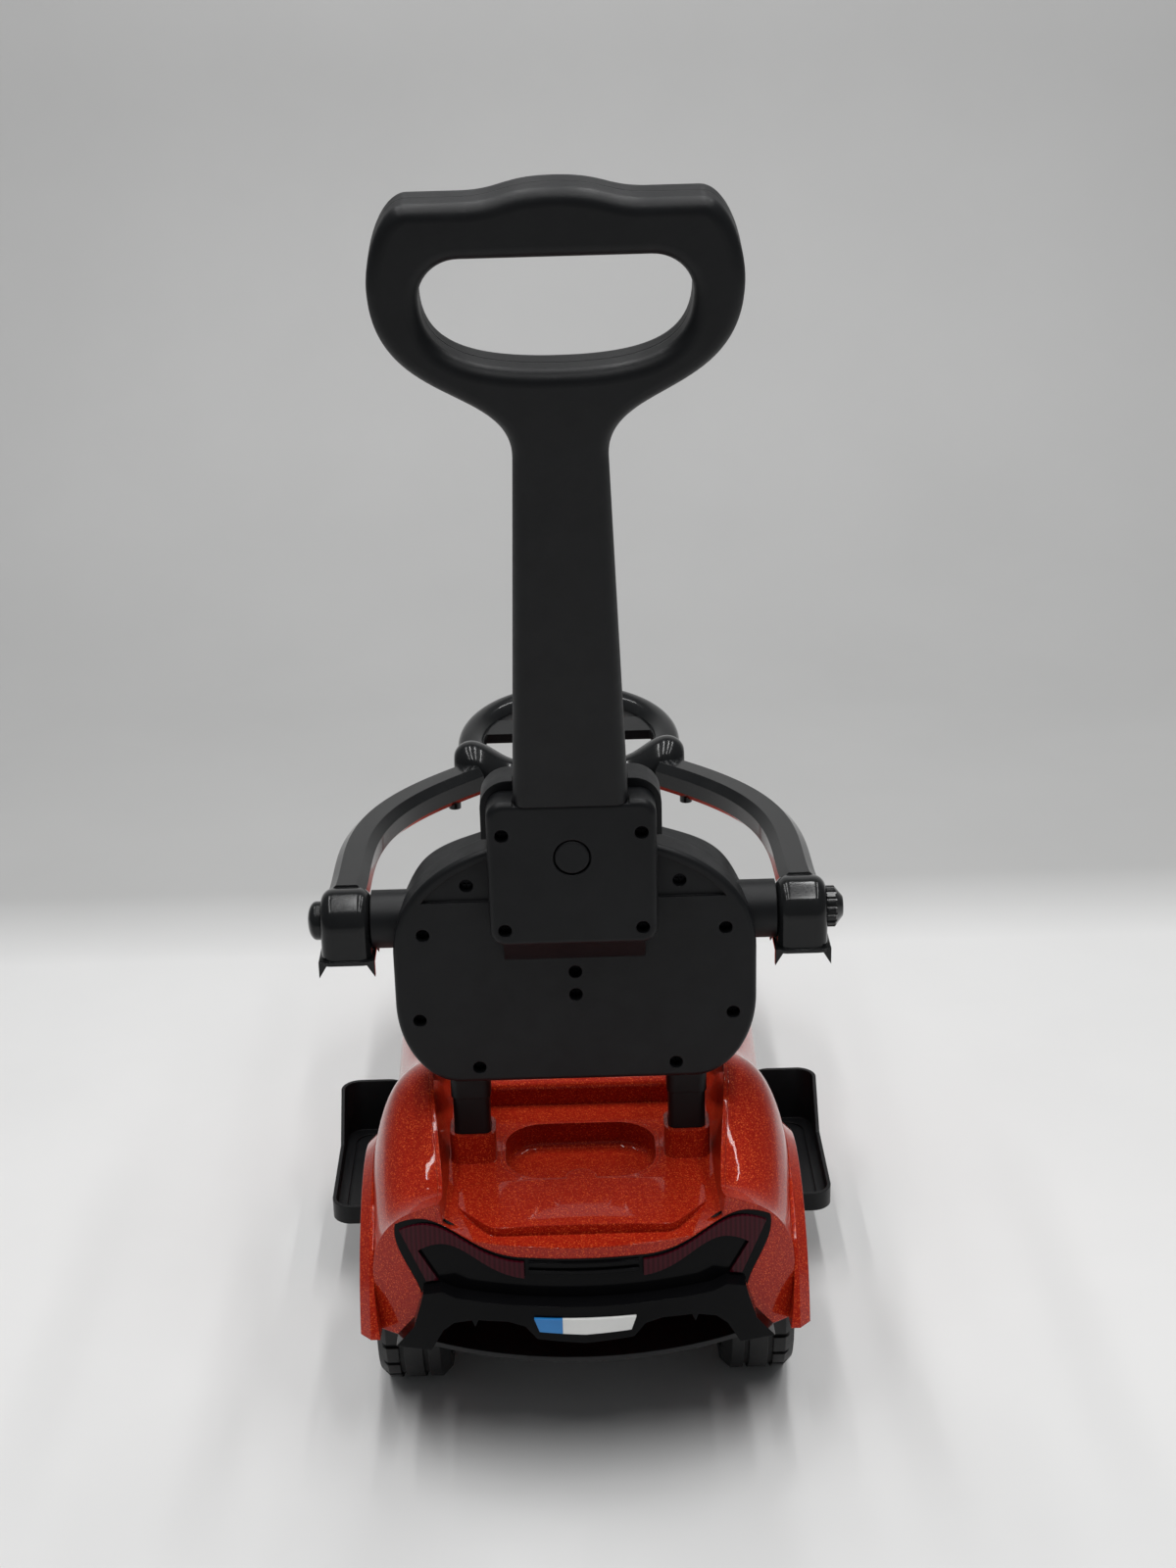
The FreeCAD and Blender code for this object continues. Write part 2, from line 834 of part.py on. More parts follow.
def mouth_space():
    """Open room below the bumper, behind the rear arches."""
    lap = ALONG_Z * mouth_lap
    edge = [point + lap for point in bumper_half()[bumper_foot:]]
    edge[0].z = bumper_top - bumper_height
    reach = 2 * body_half_width
    half = [Vector(reach, 0, 0), Vector(reach, 0, edge[0].z)] + edge
    other = [Vector(-point.x, 0, point.z) for point in reversed(half[:-1])]
    front = rear_axle_y + rear_arch_radius - overrun
    behind = block(-reach, reach, front, body_end_y + overrun, -overrun, haunch_height)
    return behind_prism(polygon(half + other)).common(behind)


def make_bumper():
    """Lower tail beam with legs over the wheels, an arch on each side and a small tab in each arch."""
    half = bumper_half()
    other = [Vector(-point.x, 0, point.z) for point in reversed(half[1:-1])]
    shell = arc_slab(tail_radius, tail_radius + bumper_reach, 0, haunch_height)
    beam = behind_prism(polygon(half + other)).common(shell)
    crown = half[arch_crown]
    root_z = crown.z + tab_drop
    tab = polygon([Vector(crown.x - tab_width, 0, root_z), Vector(crown.x + tab_width, 0, root_z),
                   Vector(crown.x, 0, crown.z - tab_drop)])
    tab = behind_prism(tab).common(shell)
    return fuse_all([beam, tab, mirror_x(tab)])


def plate_prism(x0, x1, radius_from, radius_to):
    """A piece of the number plate between two places across it."""
    high = bumper_top - plate_drop
    low = high - plate_height
    foot = plate_half_width * plate_lean_share
    head = plate_half_width
    outline = polygon([Vector(-foot, 0, low), Vector(0, 0, low - plate_keel), Vector(foot, 0, low),
                       Vector(head, 0, high), Vector(-head, 0, high)])
    slab = arc_slab(radius_from, radius_to, 0, haunch_height)
    piece = slab.common(block(x0, x1, 0, body_end_y + overrun, 0, haunch_height))
    return piece.common(behind_prism(outline))


def make_number_plate():
    """Bare plate and its plain end band on the rider's left."""
    face = tail_radius + bumper_reach
    band_x = plate_half_width - plate_band_width
    plate = plate_prism(-plate_half_width, band_x, face, face + plate_thickness)
    band = plate_prism(band_x, plate_half_width, face, face + plate_thickness)
    return plate, band


def make_flare(radius, y, half_width, outer):
    """Left arch flare: a rounded band turned about the axle, seated on the body's side."""
    low = wheel_radius + radius
    top = low + flare_band
    root = half_width - flare_root
    bevel_x = half_width - flare_edge
    profile = polygon([Vector(root, y, low), Vector(half_width, y, low),
                       Vector(half_width, y, top - flare_edge), Vector(bevel_x, y, top),
                       Vector(root, y, top)])
    band = Part.Face(profile)
    band.rotate(Vector(0, y, wheel_radius), ALONG_X, -flare_sweep / 2)
    solid = band.revolve(Vector(0, y, wheel_radius), ALONG_X, flare_sweep)
    solid = solid.cut(outer).cut(mouth_space())
    return max(solid.Solids, key=lambda piece: piece.BoundBox.XMax)


def make_underbody():
    """Black tray inside the shell with rear axle blocks and plates for the kingpins."""
    top = underbody_height + underbody_thickness
    reach = rear_flare_half_width
    tray = body_loft(body_wall + seat_gap)
    tray = tray.common(block(-reach, reach, nose_y + body_wall + overrun, tail_y, underbody_height, top))
    tray = tray.cut(arc_slab(tail_radius - fascia_depth - overrun, tail_radius + reach, 0, haunch_height))
    tray = tray.cut(arch_space(rear_arch_radius, rear_arch_x, rear_axle_y))
    tray = tray.cut(arch_space(front_arch_radius, front_arch_x, front_axle_y))
    block_x = rear_arch_x - axle_block_width
    carrier = block(block_x, rear_arch_x, rear_axle_y - axle_block_length / 2,
                    rear_axle_y + axle_block_length / 2, wheel_radius - axle_block_width, top)
    plate = block(front_arch_x - overrun, kingpin_x + kingpin_head, front_axle_y - kingpin_plate_width / 2,
                  front_axle_y + kingpin_plate_width / 2, underbody_height, top)
    whole = fuse_all([tray, carrier, mirror_x(carrier), plate, mirror_x(plate)])
    whole = whole.cut(rod_x(axle_radius, -reach, reach, rear_axle_y, wheel_radius))
    return whole.cut(column_rod(column_radius + slide_gap, -steering_z, 0))


def make_wheel(width):
    """Left wheel at the origin, axle along X, outside towards +X: a turned tyre with cut tread."""
    half = width / 2
    crown = wheel_radius - tyre_edge
    bore = axle_radius + running_gap
    dish = half - rim_recess
    tread = half - tyre_edge
    profile = polygon([Vector(-half, bore, 0), Vector(-half, crown, 0), Vector(-tread, wheel_radius, 0),
                       Vector(tread, wheel_radius, 0), Vector(half, crown, 0), Vector(half, rim_radius, 0),
                       Vector(dish, rim_radius, 0), Vector(dish, hub_radius, 0), Vector(half, hub_radius, 0),
                       Vector(half, bore, 0)])
    back = dish - wheel_web
    inside = crown - tyre_wall
    mouth = -half - overrun
    hollow = polygon([Vector(mouth, hub_radius, 0), Vector(back, hub_radius, 0), Vector(back, inside, 0),
                      Vector(mouth, inside, 0)])
    wheel = Part.Face(profile).revolve(ORIGIN, ALONG_X, 360)
    wheel = wheel.cut(Part.Face(hollow).revolve(ORIGIN, ALONG_X, 360))
    third = width / 6
    groove = tread_groove_width / 2
    for x in (-third, third):
        ring = rod_x(wheel_radius + overrun, x - groove, x + groove, 0, 0)
        wheel = wheel.cut(ring.cut(rod_x(wheel_radius - tread_groove_depth, x - third, x + third, 0, 0)))
    lug = block(third + groove, half + overrun, -groove, groove, wheel_radius - tread_groove_depth,
                wheel_radius + overrun)
    lugs = []
    for index in range(tread_lug_count):
        cut = lug.copy()
        cut.rotate(ORIGIN, ALONG_X, 360 * index / tread_lug_count)
        lugs.append(cut)
    return wheel.cut(Part.makeCompound(lugs))


def make_hubcap(width):
    """Left hubcap at the wheel's own origin: a dished dome with cut windows."""
    seat = width / 2 - rim_recess
    rim = rim_radius - seat_gap
    hole = hub_radius + seat_gap
    height = rim_recess + hubcap_dome
    edge = Vector(seat + hubcap_thickness, rim, 0)
    apex = Vector(seat + height, 0, 0)
    dome = quarter(edge, Vector(apex.x, rim, 0), apex, dome_pull_share)
    face = width / 2 + seat_gap
    closing = Part.makePolygon([apex, Vector(face, 0, 0), Vector(face, hole, 0), Vector(seat, hole, 0),
                                Vector(seat, rim, 0), edge])
    cap = Part.Face(Part.Wire([dome] + closing.Edges)).revolve(ORIGIN, ALONG_X, 360)
    window = rod_x((rim - hole) / 4, seat - overrun, seat + height, (rim + hole) / 2, 0)
    for index in range(hubcap_spokes):
        hole_cut = window.copy()
        hole_cut.rotate(ORIGIN, ALONG_X, 360 * index / hubcap_spokes)
        cap = cap.cut(hole_cut)
    return cap


def placed(shape, x, y, sign):
    """A wheel piece drawn at its own origin, moved to its axle."""
    moved = shape.copy()
    moved.translate(Vector(x, y, wheel_radius))
    return on_side(moved, sign)


def footrest_groove(x0, x1, y0, y1, floor):
    """Rounded groove line in the floor of a foot tray."""
    low = floor - tread_line
    top = floor + tread_line
    ring = []
    for inset in (tread_inset, tread_inset + tread_line):
        ring.append(rounded_block(x0 + inset, x1 - inset, y0 + inset, y1 - inset, low, top,
                                  footrest_corner - tread_line, ALONG_Z))
    return ring[0].cut(ring[1])


def make_footrest(outer):
    """Left foot tray against the body's side, with a toe wall round its front and a tongue under the body."""
    y0 = footrest_rear_y - footrest_length
    y1 = footrest_rear_y
    x0 = footrest_outer_x - footrest_width
    x1 = footrest_outer_x
    rim = footrest_base_z + footrest_rim
    toe = footrest_base_z + footrest_floor + toe_wall_height
    floor = footrest_base_z + footrest_floor
    wall = footrest_wall
    outside = rounded_block(x0, x1, y0, y1, footrest_base_z, toe, footrest_corner, ALONG_Z)
    inside = rounded_block(x0 - footrest_corner - overrun, x1 - wall, y0 + wall, y1 - wall, floor,
                           toe + overrun, footrest_corner - wall, ALONG_Z)
    slope = polygon([Vector(0, y0 + footrest_corner, toe), Vector(0, y0 + footrest_length / 3, rim),
                     Vector(0, y1, rim), Vector(0, y1, toe)])
    above = prism(slope, Vector(footrest_outer_x + overrun, 0, 0))
    tray = outside.cut(inside).cut(above).cut(footrest_groove(x0, x1, y0, y1, floor))
    quarter_length = footrest_length / 4
    tongue = block(x0 - tongue_length / 3, x0 + wall, y0 + quarter_length, y1 - quarter_length,
                   footrest_base_z - tongue_height, footrest_base_z)
    return tray.fuse(tongue).cut(block(0, x0, y0, y1, footrest_base_z, toe)).cut(outer)


def make_seat():
    """Seat lid with its hinge barrels."""
    low = seat_base_z + seat_gap
    top = low + seat_thickness
    lid = rounded_block(-seat_half_width, seat_half_width, seat_front_y, seat_rear_y, low, top, seat_corner,
                        ALONG_Z)
    lid = lid.makeFillet(seat_edge, edges_on_plane(lid, "z", top))
    barrels = []
    for sign in (1, -1):
        start = sign * hinge_half_spacing - hinge_barrel_length / 2
        end = start + hinge_barrel_length
        barrel = rod_x(hinge_barrel_radius, start, end, seat_pin_y, seat_pin_z)
        web = block(start, end, seat_pin_y, seat_front_y + seat_edge, seat_base_z + slide_gap, seat_pin_z)
        barrels.append(barrel.fuse(web))
    whole = fuse_all([lid] + barrels)
    reach = hinge_half_spacing + hinge_barrel_length
    return whole.cut(rod_x(hinge_pin_radius + running_gap, -reach, reach, seat_pin_y, seat_pin_z))


def make_seat_hinge():
    """Hinge pin with its two ears standing on the body."""
    end = hinge_half_spacing + hinge_barrel_length / 2 + slide_gap
    tip = end + hinge_barrel_radius
    pin = rod_x(hinge_pin_radius, -tip, tip, seat_pin_y, seat_pin_z)
    ears = []
    for sign in (1, -1):
        ear = rod_x(hinge_barrel_radius, end, tip, seat_pin_y, seat_pin_z)
        ear = ear.fuse(block(end, tip, seat_pin_y - hinge_barrel_radius, seat_pin_y + hinge_barrel_radius,
                             deck_height, seat_pin_z))
        ears.append(on_side(ear, sign))
    return fuse_all([pin] + ears)


def make_tub():
    """Open storage tub hung in the body under the seat."""
    low = deck_height - tub_depth
    tub = tub_space(tub_wall, low, deck_height - seat_gap)
    return tub.cut(tub_space(0, low + tub_wall, deck_height + overrun))


def quarter(start, corner, end, pull):
    """A smooth quarter bend that leaves and arrives along the two sides of a corner."""
    return bezier(start, start + (corner - start) * pull, end + (corner - end) * pull, end)


def lower_backrest_edges(y):
    """Left lower corner and side of the backrest's outline."""
    foot = Vector(backrest_corner_x, y, backrest_bottom)
    corner = Vector(backrest_half_width, y, backrest_bottom)
    side_low = Vector(backrest_half_width, y, backrest_side_low)
    side_high = Vector(backrest_half_width, y, backrest_side_high)
    return [quarter(foot, corner, side_low, corner_pull_share), Part.makeLine(side_low, side_high)]


def closed_outline(half, y):
    """Mirror a half outline and close it along the backrest's bottom."""
    other = [mirror_x(edge) for edge in half]
    foot = Vector(backrest_corner_x, y, backrest_bottom)
    base = Part.makeLine(Vector(-foot.x, y, foot.z), foot)
    return Part.Wire(Part.__sortEdges__(half + other + [base]))


def backrest_wire(y):
    """Outline of the backrest cover on a plane across Y."""
    side_high = Vector(backrest_half_width, y, backrest_side_high)
    corner = Vector(backrest_half_width, y, backrest_top)
    top = Vector(0, y, backrest_top)
    return closed_outline(lower_backrest_edges(y) + [quarter(side_high, corner, top, crown_pull_share)], y)


def front_shell_wire(y):
    """Outline of the backrest's front shell, with a stepped shoulder."""
    wide = backrest_half_width
    rise = backrest_top - backrest_side_high
    shoulder = [Vector(wide, y, backrest_side_high)]
    for across, up in shoulder_shares:
        shoulder.append(Vector(across * wide, y, backrest_side_high + up * rise))
    curve = Part.BSplineCurve()
    curve.interpolate(shoulder, InitialTangent=ALONG_Z * rise, FinalTangent=ALONG_X * -wide)
    return closed_outline(lower_backrest_edges(y) + [curve.toShape()], y)


def cover_screw_places():
    places = []
    for across, up in cover_screw_shares:
        z = backrest_bottom + up * backrest_height
        places += [(across * backrest_half_width, z), (-across * backrest_half_width, z)]
    return places


def box_screw_places():
    places = []
    for across, up in box_screw_shares:
        z = box_bottom + up * (box_top - box_bottom)
        places += [(across * box_half_width, z), (-across * box_half_width, z)]
    return places


def centre_screw_place():
    return (0, (backrest_bottom + box_bottom) / 2 + screw_hole_radius * 2)


def centre_hole_place():
    return (0, centre_screw_place()[1] + centre_hole_rise)


def screw_holes(places, y):
    """Sunk holes for a row of screws that enter from behind."""
    return Part.makeCompound([rod_y(screw_hole_radius, y - screw_sink - screw_head, y + overrun, x, z)
                              for x, z in places])


def make_screws(places, y):
    """Round heads with a cross drive, sunk in their holes."""
    heads = []
    base = y - screw_sink - screw_head
    for x, z in places:
        head = rod_y(screw_radius, base, base + screw_head, x, z)
        arm = screw_radius * drive_share
        face = base + screw_head
        for wide, high in ((arm, screw_drive / 2), (screw_drive / 2, arm)):
            head = head.cut(block(x - wide, x + wide, face - screw_drive, face + overrun, z - high, z + high))
        heads.append(head)
    return Part.makeCompound(heads)


def post_sockets():
    """Room for both posts in the backrest."""
    top = backrest_bottom + post_in_backrest
    hole = post_space(post_sleeve_lap + seat_gap, backrest_bottom - overrun, top)
    return hole.fuse(mirror_x(hole))


def stub_space(grow):
    """Rod of both guard stubs inside the backrest."""
    reach = backrest_half_width + stub_length
    root = rod_x(stub_radius + grow, backrest_half_width - stub_inset - grow, reach, guard_y, guard_z)
    return root.fuse(mirror_x(root))


def make_cover():
    """Rear half of the backrest, with a rim, two set-back crescents and screw holes."""
    plate = prism(backrest_wire(parting_y), Vector(0, cover_depth, 0))
    plate = plate.makeFillet(edge_round, edges_on_plane(plate, "y", backrest_back_y))
    scale = (backrest_half_width - cover_rim) / backrest_half_width
    recess = prism(backrest_wire(backrest_back_y - cover_recess), Vector(0, cover_recess + overrun, 0))
    shrink = FreeCAD.Matrix()
    shrink.scale(scale, 1, scale)
    recess = recess.transformGeometry(shrink)
    recess.translate(Vector(0, 0, (backrest_top - cover_rim) - backrest_top * scale))
    wide = backrest_half_width
    recess = recess.common(block(-wide, wide, 0, body_end_y, ledge_z, backrest_top))
    plate = plate.cut(recess)
    plate = plate.cut(front_box_space(seat_gap))
    plate = plate.cut(post_sockets()).cut(stub_space(seat_gap))
    places = cover_screw_places() + [centre_screw_place(), centre_hole_place()]
    return plate.cut(screw_holes(places, backrest_back_y))


def make_front_shell():
    """Front half of the backrest."""
    shell = prism(front_shell_wire(parting_y - front_shell_depth), Vector(0, front_shell_depth, 0))
    shell = shell.makeFillet(edge_round * 2, edges_on_plane(shell, "y", parting_y - front_shell_depth))
    shell = shell.cut(front_box_space(seat_gap))
    return shell.cut(post_sockets()).cut(stub_space(seat_gap))


def make_post():
    """Left post: a stem in the body's socket and a wider sleeve into the backrest."""
    low = deck_height - socket_depth + body_wall
    stem = post_space(0, low, post_step_z)
    sleeve = post_space(post_sleeve_lap, post_step_z, backrest_bottom + post_in_backrest - seat_gap)
    return stem.fuse(sleeve)


def make_stub():
    """Left guard stub: a thick root in the backrest and a pivot pin for the T-head."""
    face = thead_inner_x - slide_gap
    root = rod_x(stub_radius, backrest_half_width - stub_inset, face, guard_y, guard_z)
    pin = rod_x(pivot_radius, face, thead_outer_x - slide_gap, guard_y, guard_z)
    return root.fuse(pin)


def front_box_space(grow):
    """Front half of the socket box: a broad head over a neck let into the backrest."""
    y1 = backrest_back_y
    y0 = y1 - front_box_depth - grow
    neck = front_box_neck + grow
    shoulder = backrest_top + seat_gap
    half = front_box_half_width + grow
    head = rounded_block(-half, half, y0, y1, shoulder - front_box_corner, front_box_top + grow,
                         front_box_corner, ALONG_Y)
    head = head.common(block(-body_half_width, body_half_width, y0, y1, shoulder - grow, haunch_height * 2))
    return head.fuse(block(-neck, neck, y0, y1, box_bottom - grow, shoulder))


def handle_frame(shape):
    """Lean a shape drawn upright, foot at the origin, into the handle's place."""
    shape.rotate(ORIGIN, ALONG_X, -handle_lean)
    shape.translate(Vector(0, handle_pivot_y, handle_foot_z))
    return shape


def tongue_space(grow, length):
    """The handle's tongue, or its channel in the box."""
    half = tongue_half_width + grow
    deep = tongue_thickness / 2 + grow
    return handle_frame(block(-half, half, -deep, deep, -length, overrun))


def foot_space():
    """Room for the bar's own foot in the top of the box."""
    half = foot_half_width + slide_gap
    deep = handle_thickness / 2 + slide_gap
    return handle_frame(block(-half, half, -deep, deep, 0, box_reach))


def make_box_front():
    """Front half of the socket box, notched for the bar's foot."""
    return front_box_space(0).cut(tongue_space(slide_gap, tongue_length + slide_gap)).cut(foot_space())


def make_apron():
    """Sloped underside that leads from the box's back to the backrest."""
    inside = box_bottom + box_edge
    slope = polygon([Vector(-apron_half_width, backrest_back_y, inside),
                     Vector(-apron_half_width, box_back_y - box_edge, inside),
                     Vector(-apron_half_width, backrest_back_y, box_bottom - apron_drop)])
    return prism(slope, Vector(2 * apron_half_width, 0, 0))


def make_box_rear():
    """Rear half of the socket box with the latch button's hole."""
    box = rounded_block(-box_half_width, box_half_width, backrest_back_y, box_back_y, box_bottom, box_top,
                        box_corner, ALONG_Y)
    box = box.makeFillet(box_edge, edges_on_plane(box, "y", box_back_y)).fuse(make_apron())
    box = box.cut(tongue_space(slide_gap, tongue_length + slide_gap)).cut(foot_space())
    box = box.cut(screw_holes(box_screw_places(), box_back_y))
    depth = latch_length + latch_travel + slide_gap
    mouth = rod_y(latch_radius + latch_gap, box_back_y - latch_length / 2, box_back_y + overrun, 0, latch_z)
    bore = rod_y(latch_radius + running_gap, box_back_y - depth, box_back_y, 0, latch_z)
    return box.cut(mouth).cut(bore)


def make_latch():
    """Round push button, just below flush, with a soft edge."""
    back = box_back_y - seat_gap
    button = rod_y(latch_radius, back - latch_length, back, 0, latch_z)
    return button.makeFillet(latch_gap, edges_on_plane(button, "y", back))


def grip_wire():
    """Outline of the handle, drawn upright with its foot at the origin; smooth all the way up."""
    top = grip_length
    shoulder = top - grip_hump
    foot = Vector(foot_half_width, 0, 0)
    neck = Vector(neck_half_width, 0, (neck_z - handle_foot_z) / math.cos(lean))
    cheek = Vector(grip_half_width, 0, top - grip_cheek)
    flat = Vector(grip_flat_half_width, 0, shoulder)
    hump_start = Vector(grip_hump_half_width, 0, shoulder)
    rise = cheek.z - neck.z
    drop = shoulder - cheek.z
    hump_middle = grip_hump_half_width * hump_blend_share
    half = [
        Part.makeLine(foot, neck),
        bezier(neck, neck + (neck - foot).normalize() * rise * neck_pull_share,
               cheek - ALONG_Z * rise * cheek_pull_share, cheek),
        bezier(cheek, cheek + ALONG_Z * drop * shoulder_pull_share,
               flat + ALONG_X * (cheek.x - flat.x) * corner_reach_share, flat),
        Part.makeLine(flat, hump_start),
        bezier(hump_start, Vector(hump_middle, 0, shoulder), Vector(hump_middle, 0, top), ALONG_Z * top),
    ]
    other = [mirror_x(edge) for edge in half]
    base = Part.makeLine(Vector(-foot.x, 0, 0), foot)
    return Part.Wire(Part.__sortEdges__(half + other + [base]))


def grip_opening():
    """D-shaped hand opening: a flat top and a bowed underside."""
    top = grip_length - grip_opening_top
    wide = grip_opening_half_width
    low = top - grip_opening_height
    side = top - grip_opening_corner
    mid = grip_opening_corner * (1 - math.sqrt(0.5))
    flat = wide - grip_opening_corner
    half = [Part.Arc(Vector(wide, 0, side), Vector(wide - mid, 0, top - mid), Vector(flat, 0, top)).toShape()]
    half.append(bezier(Vector(wide, 0, side), Vector(wide, 0, low + grip_opening_corner / 2),
                       Vector(flat, 0, low), Vector(0, 0, low)))
    other = [mirror_x(edge) for edge in half]
    flat_top = Part.makeLine(Vector(-flat, 0, top), Vector(flat, 0, top))
    return Part.Wire(Part.__sortEdges__(half + other + [flat_top]))


def make_handle():
    """Push handle: a flat bar that opens into a D-shaped grip, all edges well rounded."""
    deep = handle_thickness / 2
    bar = prism(grip_wire(), Vector(0, handle_thickness, 0))
    bar = bar.cut(prism(grip_opening(), Vector(0, handle_thickness, 0)))
    rims = [edge for edge in edges_on_plane(bar, "y", 0) + edges_on_plane(bar, "y", handle_thickness)
            if edge.BoundBox.ZMax > slide_gap]
    bar = bar.makeFillet(handle_edge, rims)
    bar.translate(Vector(0, -deep, slide_gap))
    bar = handle_frame(bar)
    return bar.fuse(tongue_space(0, tongue_length))


def thead_barrel():
    """Solid form of the left T-head: a barrel with round shoulders, straight down to a square skirt."""
    barrel = rod_x(thead_radius, thead_inner_x, thead_outer_x, guard_y, guard_z)
    ends = edges_on_plane(barrel, "x", thead_inner_x) + edges_on_plane(barrel, "x", thead_outer_x)
    skirt = rounded_block(thead_inner_x, thead_outer_x, guard_y - thead_radius, guard_y + thead_radius,
                          guard_z - thead_skirt, guard_z, thead_shoulder, ALONG_Z)
    upper = block(thead_inner_x, thead_outer_x, guard_y - thead_radius, guard_y + thead_radius, guard_z,
                  guard_z + thead_radius)
    return barrel.makeFillet(thead_shoulder, ends).common(upper).fuse(skirt)


def make_prongs(low):
    """Pointed prongs below the four corners of the T-head's lip."""
    prongs = []
    for out, end in ((-1, thead_inner_x - flange_lip), (1, thead_outer_x + flange_lip)):
        root = end - out * prong_width
        for y in (guard_y - thead_radius, guard_y + thead_radius - prong_thickness):
            outline = polygon([Vector(end, y, low + thead_flange), Vector(root, y, low + thead_flange),
                               Vector(root, y, low), Vector(end, y, low - prong_drop)])
            prongs.append(prism(outline, Vector(0, prong_thickness, 0)))
    return prongs


def thead_pieces():
    """Left T-head before its bore is cut: the barrel, a lip round its mouth and the prongs."""
    low = guard_z - thead_skirt
    reach = thead_radius + flange_lip
    lip = rounded_block(thead_inner_x - flange_lip, thead_outer_x + flange_lip, guard_y - reach,
                        guard_y + reach, low, low + thead_flange, thead_shoulder, ALONG_Z)
    return [thead_barrel(), lip] + make_prongs(low)


def thead_room():
    """The T-head's open channel and the bore for its pivot pin."""
    low = guard_z - thead_skirt - overrun
    channel = block(thead_inner_x + thead_wall, thead_outer_x - thead_wall, guard_y - thead_slot / 2,
                    guard_y + thead_slot / 2, low, guard_z)
    return channel.fuse(rod_x(pivot_radius + running_gap, 0, thead_outer_x + overrun, guard_y, guard_z))


def arm_section(centre, direction):
    """Bevelled bar section, upright, square to its path."""
    side = Vector(-direction.y, direction.x, 0)
    half = guard_arm_width / 2
    rise = guard_arm_height / 2
    bevel = guard_arm_bevel
    corners = [(half, rise - bevel), (half - bevel, rise), (bevel - half, rise), (-half, rise - bevel),
               (-half, bevel - rise), (bevel - half, -rise), (half - bevel, -rise), (half, bevel - rise)]
    return polygon([centre + side * across + ALONG_Z * up for across, up in corners])


def guard_path():
    """Centre line of the left arm."""
    front_x = guard_front_half_width
    spread = (thead_inner_x + thead_outer_x) / 2 - front_x
    z = guard_z + guard_arm_rise
    return [Vector(front_x + across * spread, guard_y - along * guard_reach, z)
            for across, along in guard_path_shares]


def make_guard_arm(elbow):
    """Left arm: a bevelled bar from its T-head forward and in to the elbow."""
    path = guard_path()
    curve = Part.BSplineCurve()
    curve.interpolate(path)
    sections = []
    for point in path:
        tangent = curve.tangent(curve.parameter(point))[0]
        sections.append(arm_section(point, tangent))
    bar = max(Part.makeLoft(sections, True, False).cut(elbow).Solids, key=lambda piece: piece.Volume)
    boss_at = path[-2] * boss_share + path[-1] * (1 - boss_share)
    boss_low = boss_at.z - guard_arm_height / 2 - arm_boss_length
    boss = rod_z(arm_boss_radius, boss_low, boss_at.z, boss_at.x, boss_at.y)
    return fuse_all([bar, boss] + thead_pieces()).cut(thead_room())


def elbow_centre():
    end = guard_path()[-1]
    return Vector(0, end.y - elbow_radius * elbow_set_share, guard_z + guard_arm_rise - elbow_dip)


def make_elbow():
    """Left front elbow: a bulging hollow-looking bend that dips towards the middle."""
    middle = elbow_centre()
    circles = []
    for across, wide, up in elbow_shares:
        centre = Vector(elbow_seam_x + across * (elbow_end_half_width - elbow_seam_x), middle.y,
                        middle.z + up * elbow_rise)
        circles.append(Part.Wire([Part.Circle(centre, ALONG_X, wide * elbow_radius).toShape()]))
    return Part.makeLoft(circles, True, False)


def make_coupler():
    """Short sleeve that joins the two elbows."""
    middle = elbow_centre()
    sleeve = rod_x(coupler_radius, -elbow_seam_x, elbow_seam_x, middle.y, middle.z)
    return sleeve


def make_end_cap():
    """Smooth domed cap on the left pivot's end."""
    face = thead_outer_x
    edge = Vector(face + cap_dome / 3, guard_y + cap_radius, guard_z)
    apex = Vector(face + cap_dome, guard_y, guard_z)
    dome = quarter(edge, Vector(apex.x, edge.y, guard_z), apex, dome_pull_share)
    rest = Part.makePolygon([apex, Vector(face, guard_y, guard_z), Vector(face, edge.y, guard_z), edge])
    return Part.Face(Part.Wire([dome] + rest.Edges)).revolve(Vector(0, guard_y, guard_z), ALONG_X, 360)


def make_knob():
    """Ribbed knob on the right pivot's end, drawn on the left."""
    face = thead_outer_x
    axis = Vector(0, guard_y, guard_z)
    profile = polygon([Vector(face, guard_y, guard_z), Vector(face, guard_y + knob_radius, guard_z),
                       Vector(face + knob_length / 2, guard_y + knob_radius, guard_z),
                       Vector(face + knob_length, guard_y + knob_radius / 2, guard_z),
                       Vector(face + knob_length, guard_y, guard_z)])
    knob = Part.Face(profile).revolve(axis, ALONG_X, 360)
    end = face + knob_length + overrun
    for index in range(knob_ribs):
        groove = rod_x(knob_rib_radius, face - overrun, end, guard_y + knob_radius, guard_z)
        groove.rotate(axis, ALONG_X, 360 * index / knob_ribs)
        knob = knob.cut(groove)
    return knob


def steering_frame(shape):
    """Tilt a shape drawn flat at the origin onto the steering axis."""
    shape.rotate(ORIGIN, ALONG_X, -wheel_tilt)
    shape.translate(Vector(0, steering_y, steering_z))
    return shape


def make_steering_wheel():
    """Ring with a cross spoke, a short lower spoke and a hub."""
    ring = Part.makeTorus(steering_ring_radius, steering_tube_radius)
    half = spoke_thickness / 2
    far = -spoke_offset
    reach = steering_ring_radius
    cross = block(-reach, reach, far - spoke_width / 2, far + spoke_width / 2, -half, half)
    cross = cross.common(Part.makeCylinder(steering_ring_radius, spoke_thickness, Vector(0, 0, -half)))
    low = block(-spoke_width / 2, spoke_width / 2, 0, steering_ring_radius, -half, half)
    hub = rod_z(hub_disc_radius, -hub_disc_height, half, 0, 0)
    wheel = fuse_all([ring, cross, low, hub])
    wheel = wheel.cut(rod_z(horn_radius + horn_gap, half - horn_length - horn_travel, half + overrun, 0, 0))
    return steering_frame(wheel)


